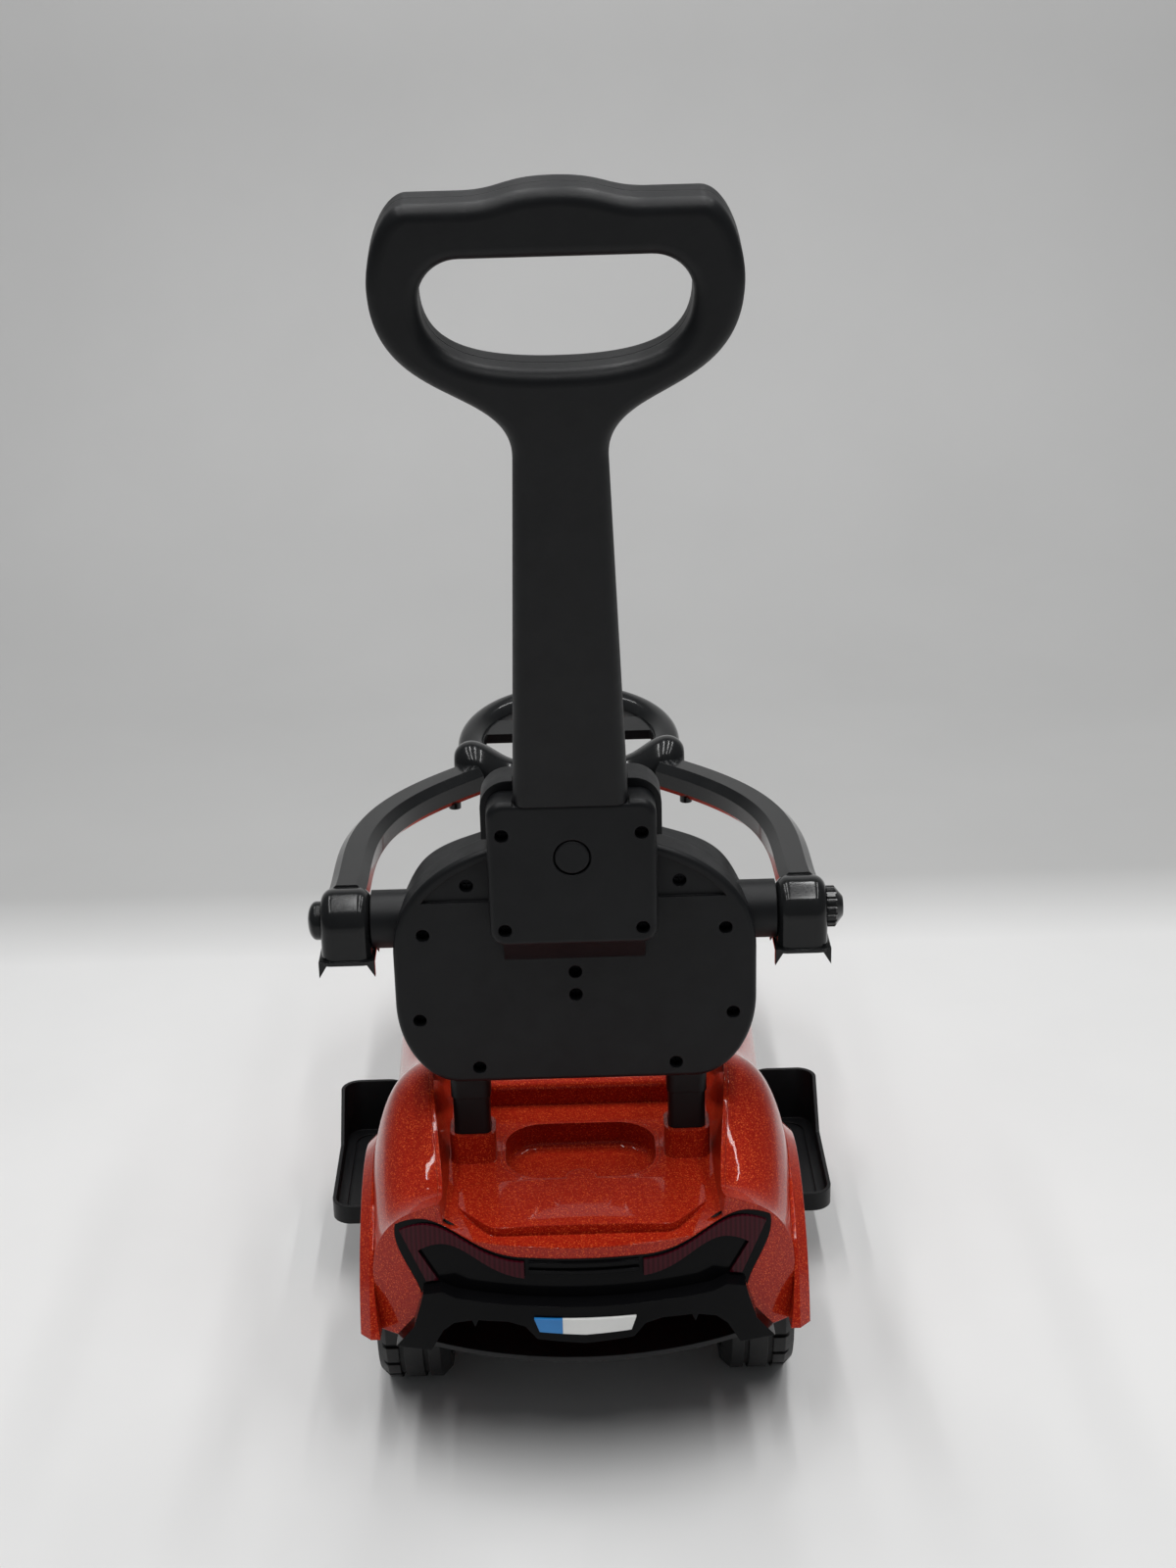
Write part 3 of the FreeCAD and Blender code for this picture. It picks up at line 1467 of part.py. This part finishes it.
def make_horn():
    """Domed horn button in the hub."""
    top = spoke_thickness / 2 + horn_stand
    button = rod_z(horn_radius, top - horn_length, top, 0, 0)
    button = button.makeFillet(horn_stand / 2, edges_on_plane(button, "z", top))
    return steering_frame(button)


def make_column():
    """Steering column with its pitman arm and pin at the foot."""
    length = (steering_z - column_foot_z) / math.cos(tilt)
    rod = column_rod(column_radius, -length, -hub_disc_height)
    half = link_width / 2
    arm_top = column_foot_z + link_thickness
    arm = block(-half, half, column_foot_y, tie_rod_y, column_foot_z, arm_top)
    tip = rod_z(half, column_foot_z, arm_top, 0, tie_rod_y)
    heel = rod_z(half, column_foot_z, arm_top + link_thickness, 0, column_foot_y)
    pin = rod_z(link_pin_radius, link_pin_low, column_foot_z, 0, tie_rod_y)
    return fuse_all([rod, arm, tip, heel, pin])


def make_column_bush(outer):
    """Sleeve in the cowl that carries the column, with a flange seated on the body's skin."""
    sleeve = column_rod(column_radius + bush_wall, -cowl_drop - bush_length, -cowl_drop)
    flange = column_rod(column_radius + 2 * bush_wall, -cowl_drop - bush_length, bush_flange - cowl_drop)
    flange = max(flange.cut(outer).Solids, key=lambda piece: piece.BoundBox.ZMax)
    bore = column_rod(column_radius + running_gap, -steering_z, 0)
    return sleeve.fuse(flange).cut(bore)


def make_tie_rod():
    """Flat cross link with three slots, one over each pin."""
    top = column_foot_z - link_pin_gap
    low = top - link_thickness
    back = tie_rod_y - link_slot_length
    front = tie_rod_y + link_slot_length
    bar = block(-knuckle_arm_x, knuckle_arm_x, back, front, low, top)
    for x in (-knuckle_arm_x, knuckle_arm_x):
        bar = bar.fuse(rod_z(link_slot_length, low, top, x, tie_rod_y))
    wide = link_pin_radius + link_pin_gap
    for x in (-knuckle_arm_x, 0, knuckle_arm_x):
        slot = rounded_block(x - wide, x + wide, back + wide, front - wide, low - overrun, top + overrun,
                             wide * slot_round_share, ALONG_Z)
        bar = bar.cut(slot)
    return bar


def make_knuckle():
    """Left front knuckle: a sleeve on the kingpin, a stub axle and a steering arm with a pin."""
    top = underbody_height - slide_gap
    sleeve = rod_z(knuckle_radius, top - knuckle_height, top, kingpin_x, front_axle_y)
    wheel_in = front_track / 2 - front_wheel_width / 2
    stub = rod_x(axle_radius, kingpin_x, wheel_in + front_wheel_width, front_axle_y, wheel_radius)
    collar = rod_x(knuckle_collar_radius, kingpin_x + knuckle_radius / 2, wheel_in - slide_gap, front_axle_y,
                   wheel_radius)
    start = Vector(kingpin_x, front_axle_y, column_foot_z)
    end = Vector(knuckle_arm_x, tie_rod_y, column_foot_z)
    along = (end - start).normalize()
    side = Vector(-along.y, along.x, 0) * (link_width / 2)
    arm = prism(polygon([start + side, start - side, end - side, end + side]), Vector(0, 0, link_thickness))
    tip = rod_z(link_width / 2, column_foot_z, column_foot_z + link_thickness, knuckle_arm_x, tie_rod_y)
    pin = rod_z(link_pin_radius, link_pin_low, column_foot_z, knuckle_arm_x, tie_rod_y)
    whole = fuse_all([sleeve, stub, collar, arm, tip, pin])
    return whole.cut(rod_z(kingpin_radius + running_gap, 0, underbody_height, kingpin_x, front_axle_y))


def make_kingpin():
    """Left kingpin, hung from the underbody, with a head below the knuckle."""
    low = underbody_height - slide_gap - knuckle_height - slide_gap
    pin = rod_z(kingpin_radius, low, underbody_height, kingpin_x, front_axle_y)
    return pin.fuse(rod_z(kingpin_head, low - kingpin_head_height, low, kingpin_x, front_axle_y))


def make_headlight(outer, inner):
    """Left lamp lens: a patch of the body's own skin."""
    return max(outer.cut(inner).common(headlight_space()).Solids, key=lambda piece: piece.Volume)


def make_grille(outer, inner):
    """Nose mouth: a frame of the body's own skin with upright bars."""
    skin = outer.cut(inner).common(grille_space())
    rise = grille_height / 2
    gap = (2 * grille_half_width - grille_bar) / grille_bar_count
    for index in range(grille_bar_count):
        x = -grille_half_width + grille_bar + index * gap
        skin = skin.cut(block(x, x + gap - grille_bar, nose_y - overrun, nose_y + front_arch_radius,
                              grille_z - rise + grille_bar, grille_z + rise - grille_bar))
    return skin


def build():
    os.makedirs("parts", exist_ok=True)
    outer = body_loft(0)
    inner = body_loft(body_wall)
    export("body_shell", make_shell(outer))
    export("deck_panel", make_deck(outer))
    export("pocket_tray", make_pocket())
    export("underbody", make_underbody())
    export("rear_fascia", make_fascia(outer))
    export("rear_bumper", make_bumper())
    plate, band = make_number_plate()
    export("number_plate", plate)
    export("plate_band", band)
    export("front_grille", make_grille(outer, inner))
    export("seat_lid", make_seat())
    export("seat_hinge_pin", make_seat_hinge())
    export("storage_tub", make_tub())
    export("backrest_cover", make_cover())
    export("backrest_front", make_front_shell())
    export("cover_screws", make_screws(cover_screw_places() + [centre_screw_place()], backrest_back_y))
    export("socket_box_front", make_box_front())
    export("socket_box_rear", make_box_rear())
    export("box_screws", make_screws(box_screw_places(), box_back_y))
    export("latch_button", make_latch())
    export("push_handle", make_handle())
    export("steering_wheel", make_steering_wheel())
    export("horn_button", make_horn())
    export("steering_column", make_column())
    export("column_bush", make_column_bush(outer))
    export("tie_rod", make_tie_rod())
    export("guard_coupler", make_coupler())
    export("guard_end_cap", make_end_cap())
    export("guard_knob", mirror_x(make_knob()))
    rear_end = rear_track / 2 + rear_wheel_width / 2
    export("rear_axle", rod_x(axle_radius, -rear_end, rear_end, rear_axle_y, wheel_radius))
    elbow = make_elbow()
    arm = make_guard_arm(elbow)
    sided = {
        "tail_light": make_tail_light(),
        "footrest": make_footrest(outer),
        "backrest_post": make_post(),
        "guard_stub": make_stub(),
        "guard_arm": arm,
        "guard_elbow": elbow,
        "front_knuckle": make_knuckle(),
        "kingpin": make_kingpin(),
        "headlight": make_headlight(outer, inner),
        "rear_arch_flare": make_flare(rear_arch_radius, rear_axle_y, rear_flare_half_width, outer),
        "front_arch_flare": make_flare(front_arch_radius, front_axle_y, front_flare_half_width, outer),
    }
    rear_wheel = make_wheel(rear_wheel_width)
    front_wheel = make_wheel(front_wheel_width)
    rear_cap = make_hubcap(rear_wheel_width)
    front_cap = make_hubcap(front_wheel_width)
    for side, sign in SIDES.items():
        for name, shape in sided.items():
            export(name + "_" + side, on_side(shape, sign))
        export("rear_wheel_" + side, placed(rear_wheel, rear_track / 2, rear_axle_y, sign))
        export("front_wheel_" + side, placed(front_wheel, front_track / 2, front_axle_y, sign))
        export("rear_hubcap_" + side, placed(rear_cap, rear_track / 2, rear_axle_y, sign))
        export("front_hubcap_" + side, placed(front_cap, front_track / 2, front_axle_y, sign))


build()
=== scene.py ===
"""Looks of the push car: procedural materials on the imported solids, studio and camera."""

import json
import math

import bpy
from mathutils import Matrix, Vector

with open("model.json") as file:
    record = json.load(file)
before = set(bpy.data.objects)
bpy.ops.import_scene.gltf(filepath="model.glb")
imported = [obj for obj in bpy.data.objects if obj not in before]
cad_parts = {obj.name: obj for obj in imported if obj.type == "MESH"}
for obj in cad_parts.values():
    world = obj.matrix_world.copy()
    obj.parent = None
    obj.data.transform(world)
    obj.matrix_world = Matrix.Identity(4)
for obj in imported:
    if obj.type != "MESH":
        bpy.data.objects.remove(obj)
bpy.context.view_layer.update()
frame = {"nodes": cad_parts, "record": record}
nodes = frame["nodes"]

# Camera, as found from the photograph: metres, degrees, millimetres of lens and sensor
camera_place = Vector((0.0, 1.7936, 1.096))
camera_pitch = 21.5
camera_roll = 1.65
camera_lens = 54.0
camera_sensor = 36.0
camera_shift = 0.0115

# Studio sheet: metres, and its tones by the distance along it: a bright floor, then painted shade over the
# far floor and the foot of the wall, and painted light at its top
floor_half = 6.0
floor_back_y = -1.3
floor_bend_radius = 0.8
backdrop_height = 3.4
bend_steps = 24
floor_color = (0.78, 0.78, 0.775)
# Painted shade at the foot of the wall and painted light at its top
wall_painted_shade_color = (0.50, 0.50, 0.495)
wall_painted_light_color = (0.66, 0.66, 0.655)
floor_edge = 0.50
wall_start = 0.68
wall_end = 3.2
sheet_dull_color = (0.96, 0.96, 0.96)
sheet_full_color = (1.0, 1.0, 1.0)
sheet_rough = 0.6

# Lamps and world: metres and watts
tube_places = (-1.2, -0.45, 0.3, 1.05)
tube_width = 0.09
tube_length = 3.0
tube_height = 2.5
tube_middle_y = 0.3
tube_power = 21.0
world_color = (0.90, 0.92, 0.95, 1.0)
world_strength = 0.15

# Sockets of a colour Mix node, which has several of the same name
mix_first_color = 6
mix_second_color = 7
mix_color_result = 2

# Part of 0 to 1 that a noise signal mostly covers
noise_low = 0.3
noise_high = 0.7

# Clear skins, which mirror the lamps more than the pale room
soft_coat_ior = 1.30
soft_coat_rough = 0.08
clear_coat_rough = 0.03

# Moulded plastic: metres of rounding at its edges, and how far its gloss strays
edge_radius = 0.0011
edge_samples = 6
gloss_share = 0.14

# Red lacquer: shades of its flake, from dark to bright, and its clear coat
flake_shades = (
    (0.0, (0.29, 0.010, 0.004)),
    (0.55, (0.39, 0.017, 0.006)),
    (0.86, (0.50, 0.034, 0.010)),
    (1.0, (0.80, 0.12, 0.03)),
)
flake_scale = 1500.0
flake_metal = 0.05
lacquer_rough_low = 0.30
lacquer_rough_high = 0.38
lacquer_shine = 0.08
lacquer_coat = 0.8
lacquer_ior = 1.33
lacquer_edge_color = (0.55, 0.05, 0.03, 1.0)

# Lamp lenses
flute_scale = 90.0
flute_low = 0.1
flute_high = 0.9
lens_rough_low = 0.12
lens_rough_high = 0.2
lens_shine = 0.08

# Metal: how much its scratches lighten, smooth and roughen it
scratch_low = 0.35
scratch_high = 0.65
scratch_light = 1.12
scratch_smooth = 0.8
scratch_dull = 1.25

# Parting line round the push handle: its plane leans with the handle
handle_lean = math.radians(13.0)
handle_seam_point = Vector((0.0, 0.296, 0.500))
handle_seam_normal = Vector((0.0, math.cos(handle_lean), -math.sin(handle_lean)))
seam_width = 0.0008
seam_strength = 0.8


def new_material(name):
    """An empty node material with its tree and shader."""
    material = bpy.data.materials.new(name)
    material.use_nodes = True
    tree = material.node_tree
    return material, tree, tree.nodes["Principled BSDF"]


def noise(tree, scale, detail, rough=0.5):
    """Noise in the object's own metres."""
    place = tree.nodes.new("ShaderNodeTexCoord")
    texture = tree.nodes.new("ShaderNodeTexNoise")
    texture.inputs["Scale"].default_value = scale
    texture.inputs["Detail"].default_value = detail
    texture.inputs["Roughness"].default_value = rough
    tree.links.new(place.outputs["Object"], texture.inputs["Vector"])
    return texture.outputs["Fac"]


def spread(tree, source, low, high, start=noise_low, end=noise_high):
    """Map part of a signal onto a range of numbers."""
    node = tree.nodes.new("ShaderNodeMapRange")
    node.inputs["From Min"].default_value = start
    node.inputs["From Max"].default_value = end
    node.inputs["To Min"].default_value = low
    node.inputs["To Max"].default_value = high
    tree.links.new(source, node.inputs["Value"])
    return node.outputs["Result"]


def ramp(tree, source, stops):
    """Colours along a 0 to 1 signal."""
    node = tree.nodes.new("ShaderNodeValToRGB")
    elements = node.color_ramp.elements
    while len(elements) < len(stops):
        elements.new(1.0)
    for element, (place, color) in zip(elements, stops):
        element.position = place
        element.color = (*color, 1.0)
    tree.links.new(source, node.inputs["Fac"])
    return node.outputs["Color"]


def bump(tree, source, depth, strength, under=None):
    """Raise a surface by a signal; several can be stacked."""
    node = tree.nodes.new("ShaderNodeBump")
    node.inputs["Distance"].default_value = depth
    node.inputs["Strength"].default_value = strength
    tree.links.new(source, node.inputs["Height"])
    if under is not None:
        tree.links.new(under, node.inputs["Normal"])
    return node.outputs["Normal"]


def soft_edges(tree, radius):
    """Normals rounded over sharp edges, as a mould leaves them."""
    node = tree.nodes.new("ShaderNodeBevel")
    node.samples = edge_samples
    node.inputs["Radius"].default_value = radius
    return node.outputs["Normal"]


def along(tree, direction):
    """Distance in a direction, in the object's own metres."""
    place = tree.nodes.new("ShaderNodeTexCoord")
    node = tree.nodes.new("ShaderNodeVectorMath")
    node.operation = "DOT_PRODUCT"
    node.inputs[1].default_value = direction
    tree.links.new(place.outputs["Object"], node.inputs[0])
    return node.outputs["Value"]


def seam_line(tree, point, normal, under):
    """A fine groove where two mould halves met on a plane."""
    away = tree.nodes.new("ShaderNodeMath")
    away.operation = "SUBTRACT"
    away.inputs[1].default_value = point.dot(normal)
    tree.links.new(along(tree, normal), away.inputs[0])
    size = tree.nodes.new("ShaderNodeMath")
    size.operation = "ABSOLUTE"
    tree.links.new(away.outputs["Value"], size.inputs[0])
    groove = spread(tree, size.outputs["Value"], 0.0, 1.0, 0.0, seam_width)
    return bump(tree, groove, seam_width, seam_strength, under)


def coat(shader, weight, ior, rough):
    """A clear skin over a finish."""
    shader.inputs["Coat Weight"].default_value = weight
    shader.inputs["Coat IOR"].default_value = ior
    shader.inputs["Coat Roughness"].default_value = rough


def moulded_plastic(name, dark, light, rough, grain_scale, grain_depth, skin=0.0, shine=0.5, seam=None):
    """Injection-moulded plastic: slight mottling, uneven gloss, a fine grain and soft edges."""
    material, tree, shader = new_material(name)
    mottle = noise(tree, scale=22.0, detail=6.0, rough=0.6)
    color = ramp(tree, mottle, [(noise_low, dark), (noise_high, light)])
    tree.links.new(color, shader.inputs["Base Color"])
    uneven = noise(tree, scale=60.0, detail=8.0, rough=0.65)
    gloss = spread(tree, uneven, rough * (1 - gloss_share), rough * (1 + gloss_share))
    tree.links.new(gloss, shader.inputs["Roughness"])
    shader.inputs["Specular IOR Level"].default_value = shine
    edges = soft_edges(tree, edge_radius)
    grain = bump(tree, noise(tree, grain_scale, detail=3.0), grain_depth, strength=0.35, under=edges)
    relief = bump(tree, noise(tree, scale=14.0, detail=2.0), depth=0.0006, strength=0.25, under=grain)
    if seam is not None:
        relief = seam_line(tree, *seam, relief)
    tree.links.new(relief, shader.inputs["Normal"])
    coat(shader, skin, soft_coat_ior, soft_coat_rough)
    return material


def ripple(tree, under):
    """The slow unevenness of a lacquered surface."""
    return bump(tree, noise(tree, scale=9.0, detail=2.0), depth=0.0016, strength=0.22, under=under)


def candy_red(name):
    """Lacquered red with metal flake under a clear coat."""
    material, tree, shader = new_material(name)
    place = tree.nodes.new("ShaderNodeTexCoord")
    flake = tree.nodes.new("ShaderNodeTexVoronoi")
    flake.inputs["Scale"].default_value = flake_scale
    tree.links.new(place.outputs["Object"], flake.inputs["Vector"])
    tone = tree.nodes.new("ShaderNodeSeparateColor")
    tree.links.new(flake.outputs["Color"], tone.inputs["Color"])
    tree.links.new(ramp(tree, tone.outputs["Red"], flake_shades), shader.inputs["Base Color"])
    gloss = spread(tree, noise(tree, scale=40.0, detail=4.0), lacquer_rough_low, lacquer_rough_high)
    tree.links.new(gloss, shader.inputs["Roughness"])
    edges = soft_edges(tree, edge_radius)
    sparkle = bump(tree, tone.outputs["Green"], depth=0.0003, strength=0.22, under=edges)
    tree.links.new(ripple(tree, sparkle), shader.inputs["Normal"])
    tree.links.new(ripple(tree, edges), shader.inputs["Coat Normal"])
    shader.inputs["Metallic"].default_value = flake_metal
    shader.inputs["Specular IOR Level"].default_value = lacquer_shine
    shader.inputs["Specular Tint"].default_value = lacquer_edge_color
    coat(shader, lacquer_coat, lacquer_ior, clear_coat_rough)
    return material


def lamp_lens(name, dark, light, skin):
    """Smoked lens: deep colour with fine upright flutes under a clear skin."""
    material, tree, shader = new_material(name)
    place = tree.nodes.new("ShaderNodeTexCoord")
    flutes = tree.nodes.new("ShaderNodeTexWave")
    flutes.bands_direction = "X"
    flutes.inputs["Scale"].default_value = flute_scale
    tree.links.new(place.outputs["Object"], flutes.inputs["Vector"])
    color = ramp(tree, flutes.outputs["Fac"], [(flute_low, dark), (flute_high, light)])
    tree.links.new(color, shader.inputs["Base Color"])
    gloss = spread(tree, noise(tree, scale=50.0, detail=4.0), lens_rough_low, lens_rough_high)
    tree.links.new(gloss, shader.inputs["Roughness"])
    relief = bump(tree, flutes.outputs["Fac"], depth=0.0004, strength=0.25)
    tree.links.new(relief, shader.inputs["Normal"])
    shader.inputs["Specular IOR Level"].default_value = lens_shine
    coat(shader, skin, soft_coat_ior, clear_coat_rough)
    return material


def metal(name, color, rough):
    """Steel or silver lacquer with fine scratches."""
    material, tree, shader = new_material(name)
    scratch = noise(tree, scale=320.0, detail=8.0, rough=0.7)
    paler = tuple(min(1.0, value * scratch_light) for value in color)
    shade = ramp(tree, scratch, [(scratch_low, color), (scratch_high, paler)])
    tree.links.new(shade, shader.inputs["Base Color"])
    gloss = spread(tree, scratch, rough * scratch_smooth, rough * scratch_dull)
    tree.links.new(gloss, shader.inputs["Roughness"])
    relief = bump(tree, scratch, depth=0.0001, strength=0.2)
    tree.links.new(relief, shader.inputs["Normal"])
    shader.inputs["Metallic"].default_value = 1.0
    return material


def matte_black(name, seam=None):
    """Grained black of the backrest, handle, seat and foot trays, with a parting line where one is given."""
    return moulded_plastic(name, dark=(0.005, 0.0054, 0.0062), light=(0.008, 0.0085, 0.0095), rough=0.42,
                           grain_scale=1500.0, grain_depth=0.00018, shine=0.22, seam=seam)


def plate_plastic(name, dark, light):
    """Smooth plastic of the plate and its band."""
    return moulded_plastic(name, dark, light, rough=0.35, grain_scale=1500.0, grain_depth=0.0001)


def underbody_black():
    """Plain black of the pieces under the car."""
    return moulded_plastic("underbody_black", dark=(0.010, 0.010, 0.011), light=(0.016, 0.016, 0.017),
                           rough=0.52, grain_scale=900.0, grain_depth=0.0003, shine=0.3)


def gloss_black():
    """Deep black of the tail and grille."""
    return moulded_plastic("gloss_black", dark=(0.003, 0.003, 0.0035), light=(0.005, 0.005, 0.0055),
                           rough=0.14, grain_scale=2600.0, grain_depth=0.00003, skin=0.2, shine=0.03)


def satin_black():
    """Smoother black of the guard and steering wheel."""
    return moulded_plastic("satin_black", dark=(0.007, 0.0075, 0.008), light=(0.012, 0.0125, 0.013),
                           rough=0.20, grain_scale=2200.0, grain_depth=0.00005, skin=0.7, shine=0.12)


def tyre_black():
    """Hard plastic of the tyres, with a coarser grain."""
    return moulded_plastic("tyre_black", dark=(0.009, 0.009, 0.0095), light=(0.016, 0.016, 0.0165),
                           rough=0.5, grain_scale=700.0, grain_depth=0.0004, shine=0.35)


def make_materials():
    """Every finish, by the record's slot."""
    return {
        "red_body": candy_red("candy_red"),
        "black_underbody": underbody_black(),
        "gloss_black": gloss_black(),
        "red_lens": lamp_lens("smoked_red_lens", (0.034, 0.0015, 0.005), (0.056, 0.003, 0.009), skin=0.25),
        "clear_lens": lamp_lens("pale_lens", (0.42, 0.43, 0.45), (0.66, 0.68, 0.70), skin=0.8),
        "white_plate": plate_plastic("plate_white", (0.80, 0.80, 0.78), (0.88, 0.88, 0.86)),
        "blue_band": plate_plastic("band_blue", (0.016, 0.20, 0.54), (0.024, 0.24, 0.62)),
        "matte_black": matte_black("matte_black"),
        "satin_black": satin_black(),
        "zinc_steel": metal("zinc_steel", (0.56, 0.57, 0.58), rough=0.34),
        # Near-black screw heads: painted shade of the deep holes they sit in
        "dark_screw": metal("dark_screw", (0.012, 0.012, 0.013), rough=0.50),
        "tyre_black": tyre_black(),
        "silver_cap": metal("silver_lacquer", (0.66, 0.67, 0.68), rough=0.30),
    }


def dress(materials):
    """Give each solid its finish."""
    for entry in frame["record"]["subparts"]:
        mesh = nodes[entry["node"]].data
        mesh.materials.clear()
        mesh.materials.append(materials[entry["material_slot"]])
    seamed = matte_black("handle_black", (handle_seam_point, handle_seam_normal))
    nodes["push_handle"].data.materials[0] = seamed


def sheet_material():
    """Pale paper: a bright floor, painted shade over the far floor and the foot of the wall, and painted
    light at its top.
    """
    material, tree, shader = new_material("pale_sheet")
    length = spread(tree, along(tree, Vector((0.0, -1.0, 1.0))), 0.0, 1.0, 0.0, wall_end)
    # Ramp of painted shade over the far floor and the foot of the wall, and painted light at the wall's top
    painted_wall_shade_stops = [
        (floor_edge / wall_end, floor_color),
        (wall_start / wall_end, wall_painted_shade_color),
        (1.0, wall_painted_light_color),
    ]
    tone = tree.nodes.new("ShaderNodeMix")
    tone.data_type = "RGBA"
    tone.blend_type = "MULTIPLY"
    tone.inputs["Factor"].default_value = 1.0
    tree.links.new(ramp(tree, length, painted_wall_shade_stops), tone.inputs[mix_first_color])
    uneven = noise(tree, scale=3.0, detail=5.0, rough=0.55)
    mottle = ramp(tree, uneven, [(noise_low, sheet_dull_color), (noise_high, sheet_full_color)])
    tree.links.new(mottle, tone.inputs[mix_second_color])
    tree.links.new(tone.outputs[mix_color_result], shader.inputs["Base Color"])
    relief = bump(tree, noise(tree, scale=5.0, detail=3.0), depth=0.01, strength=0.15)
    tree.links.new(relief, shader.inputs["Normal"])
    shader.inputs["Roughness"].default_value = sheet_rough
    return material


def make_floor():
    """Pale sheet: floor, soft bend and backdrop in one strip."""
    line = [(2 * floor_half, 0.0), (floor_back_y, 0.0)]
    for index in range(1, bend_steps + 1):
        angle = math.pi / 2 * index / bend_steps
        back = floor_bend_radius * math.sin(angle)
        rise = floor_bend_radius * (1 - math.cos(angle))
        line.append((floor_back_y - back, rise))
    line.append((floor_back_y - floor_bend_radius, backdrop_height))
    mesh = bpy.data.meshes.new("floor_sheet")
    points = [(x, y, z) for y, z in line for x in (-floor_half, floor_half)]
    faces = [(2 * i, 2 * i + 1, 2 * i + 3, 2 * i + 2) for i in range(len(line) - 1)]
    mesh.from_pydata(points, [], faces)
    for polygon in mesh.polygons:
        polygon.use_smooth = True
    sheet = bpy.data.objects.new("floor_sheet", mesh)
    bpy.context.collection.objects.link(sheet)
    mesh.materials.append(sheet_material())


def add_tube(index, across):
    """One long soft lamp overhead, aimed straight down."""
    name = "tube_%d" % index
    lamp = bpy.data.lights.new(name, "AREA")
    lamp.shape = "RECTANGLE"
    lamp.size = tube_width
    lamp.size_y = tube_length
    lamp.energy = tube_power
    holder = bpy.data.objects.new(name, lamp)
    holder.location = (across, tube_middle_y, tube_height)
    holder.rotation_euler = Vector((0.0, 0.0, -tube_height)).to_track_quat("-Z", "Y").to_euler()
    bpy.context.collection.objects.link(holder)


def make_lights():
    """A row of soft tube lamps overhead and a low world fill."""
    for index, across in enumerate(tube_places):
        add_tube(index, across)
    world = bpy.data.worlds.new("studio")
    world.use_nodes = True
    background = world.node_tree.nodes["Background"]
    background.inputs["Color"].default_value = world_color
    background.inputs["Strength"].default_value = world_strength
    bpy.context.scene.world = world


def make_camera():
    """Camera at the photograph's place, pitch and roll."""
    pitch = math.radians(camera_pitch)
    roll = math.radians(camera_roll)
    level_right = Vector((-1.0, 0.0, 0.0))
    level_up = Vector((0.0, -math.sin(pitch), math.cos(pitch)))
    back = Vector((0.0, math.cos(pitch), math.sin(pitch)))
    right = level_right * math.cos(roll) - level_up * math.sin(roll)
    up = level_up * math.cos(roll) + level_right * math.sin(roll)
    data = bpy.data.cameras.new("camera")
    data.sensor_width = camera_sensor
    data.lens = camera_lens
    data.shift_x = camera_shift
    holder = bpy.data.objects.new("camera", data)
    holder.matrix_world = Matrix((right, up, back)).transposed().to_4x4()
    holder.location = camera_place
    bpy.context.collection.objects.link(holder)
    bpy.context.scene.camera = holder


dress(make_materials())
make_floor()
make_lights()
make_camera()
bpy.context.scene.view_settings.view_transform = "Standard"
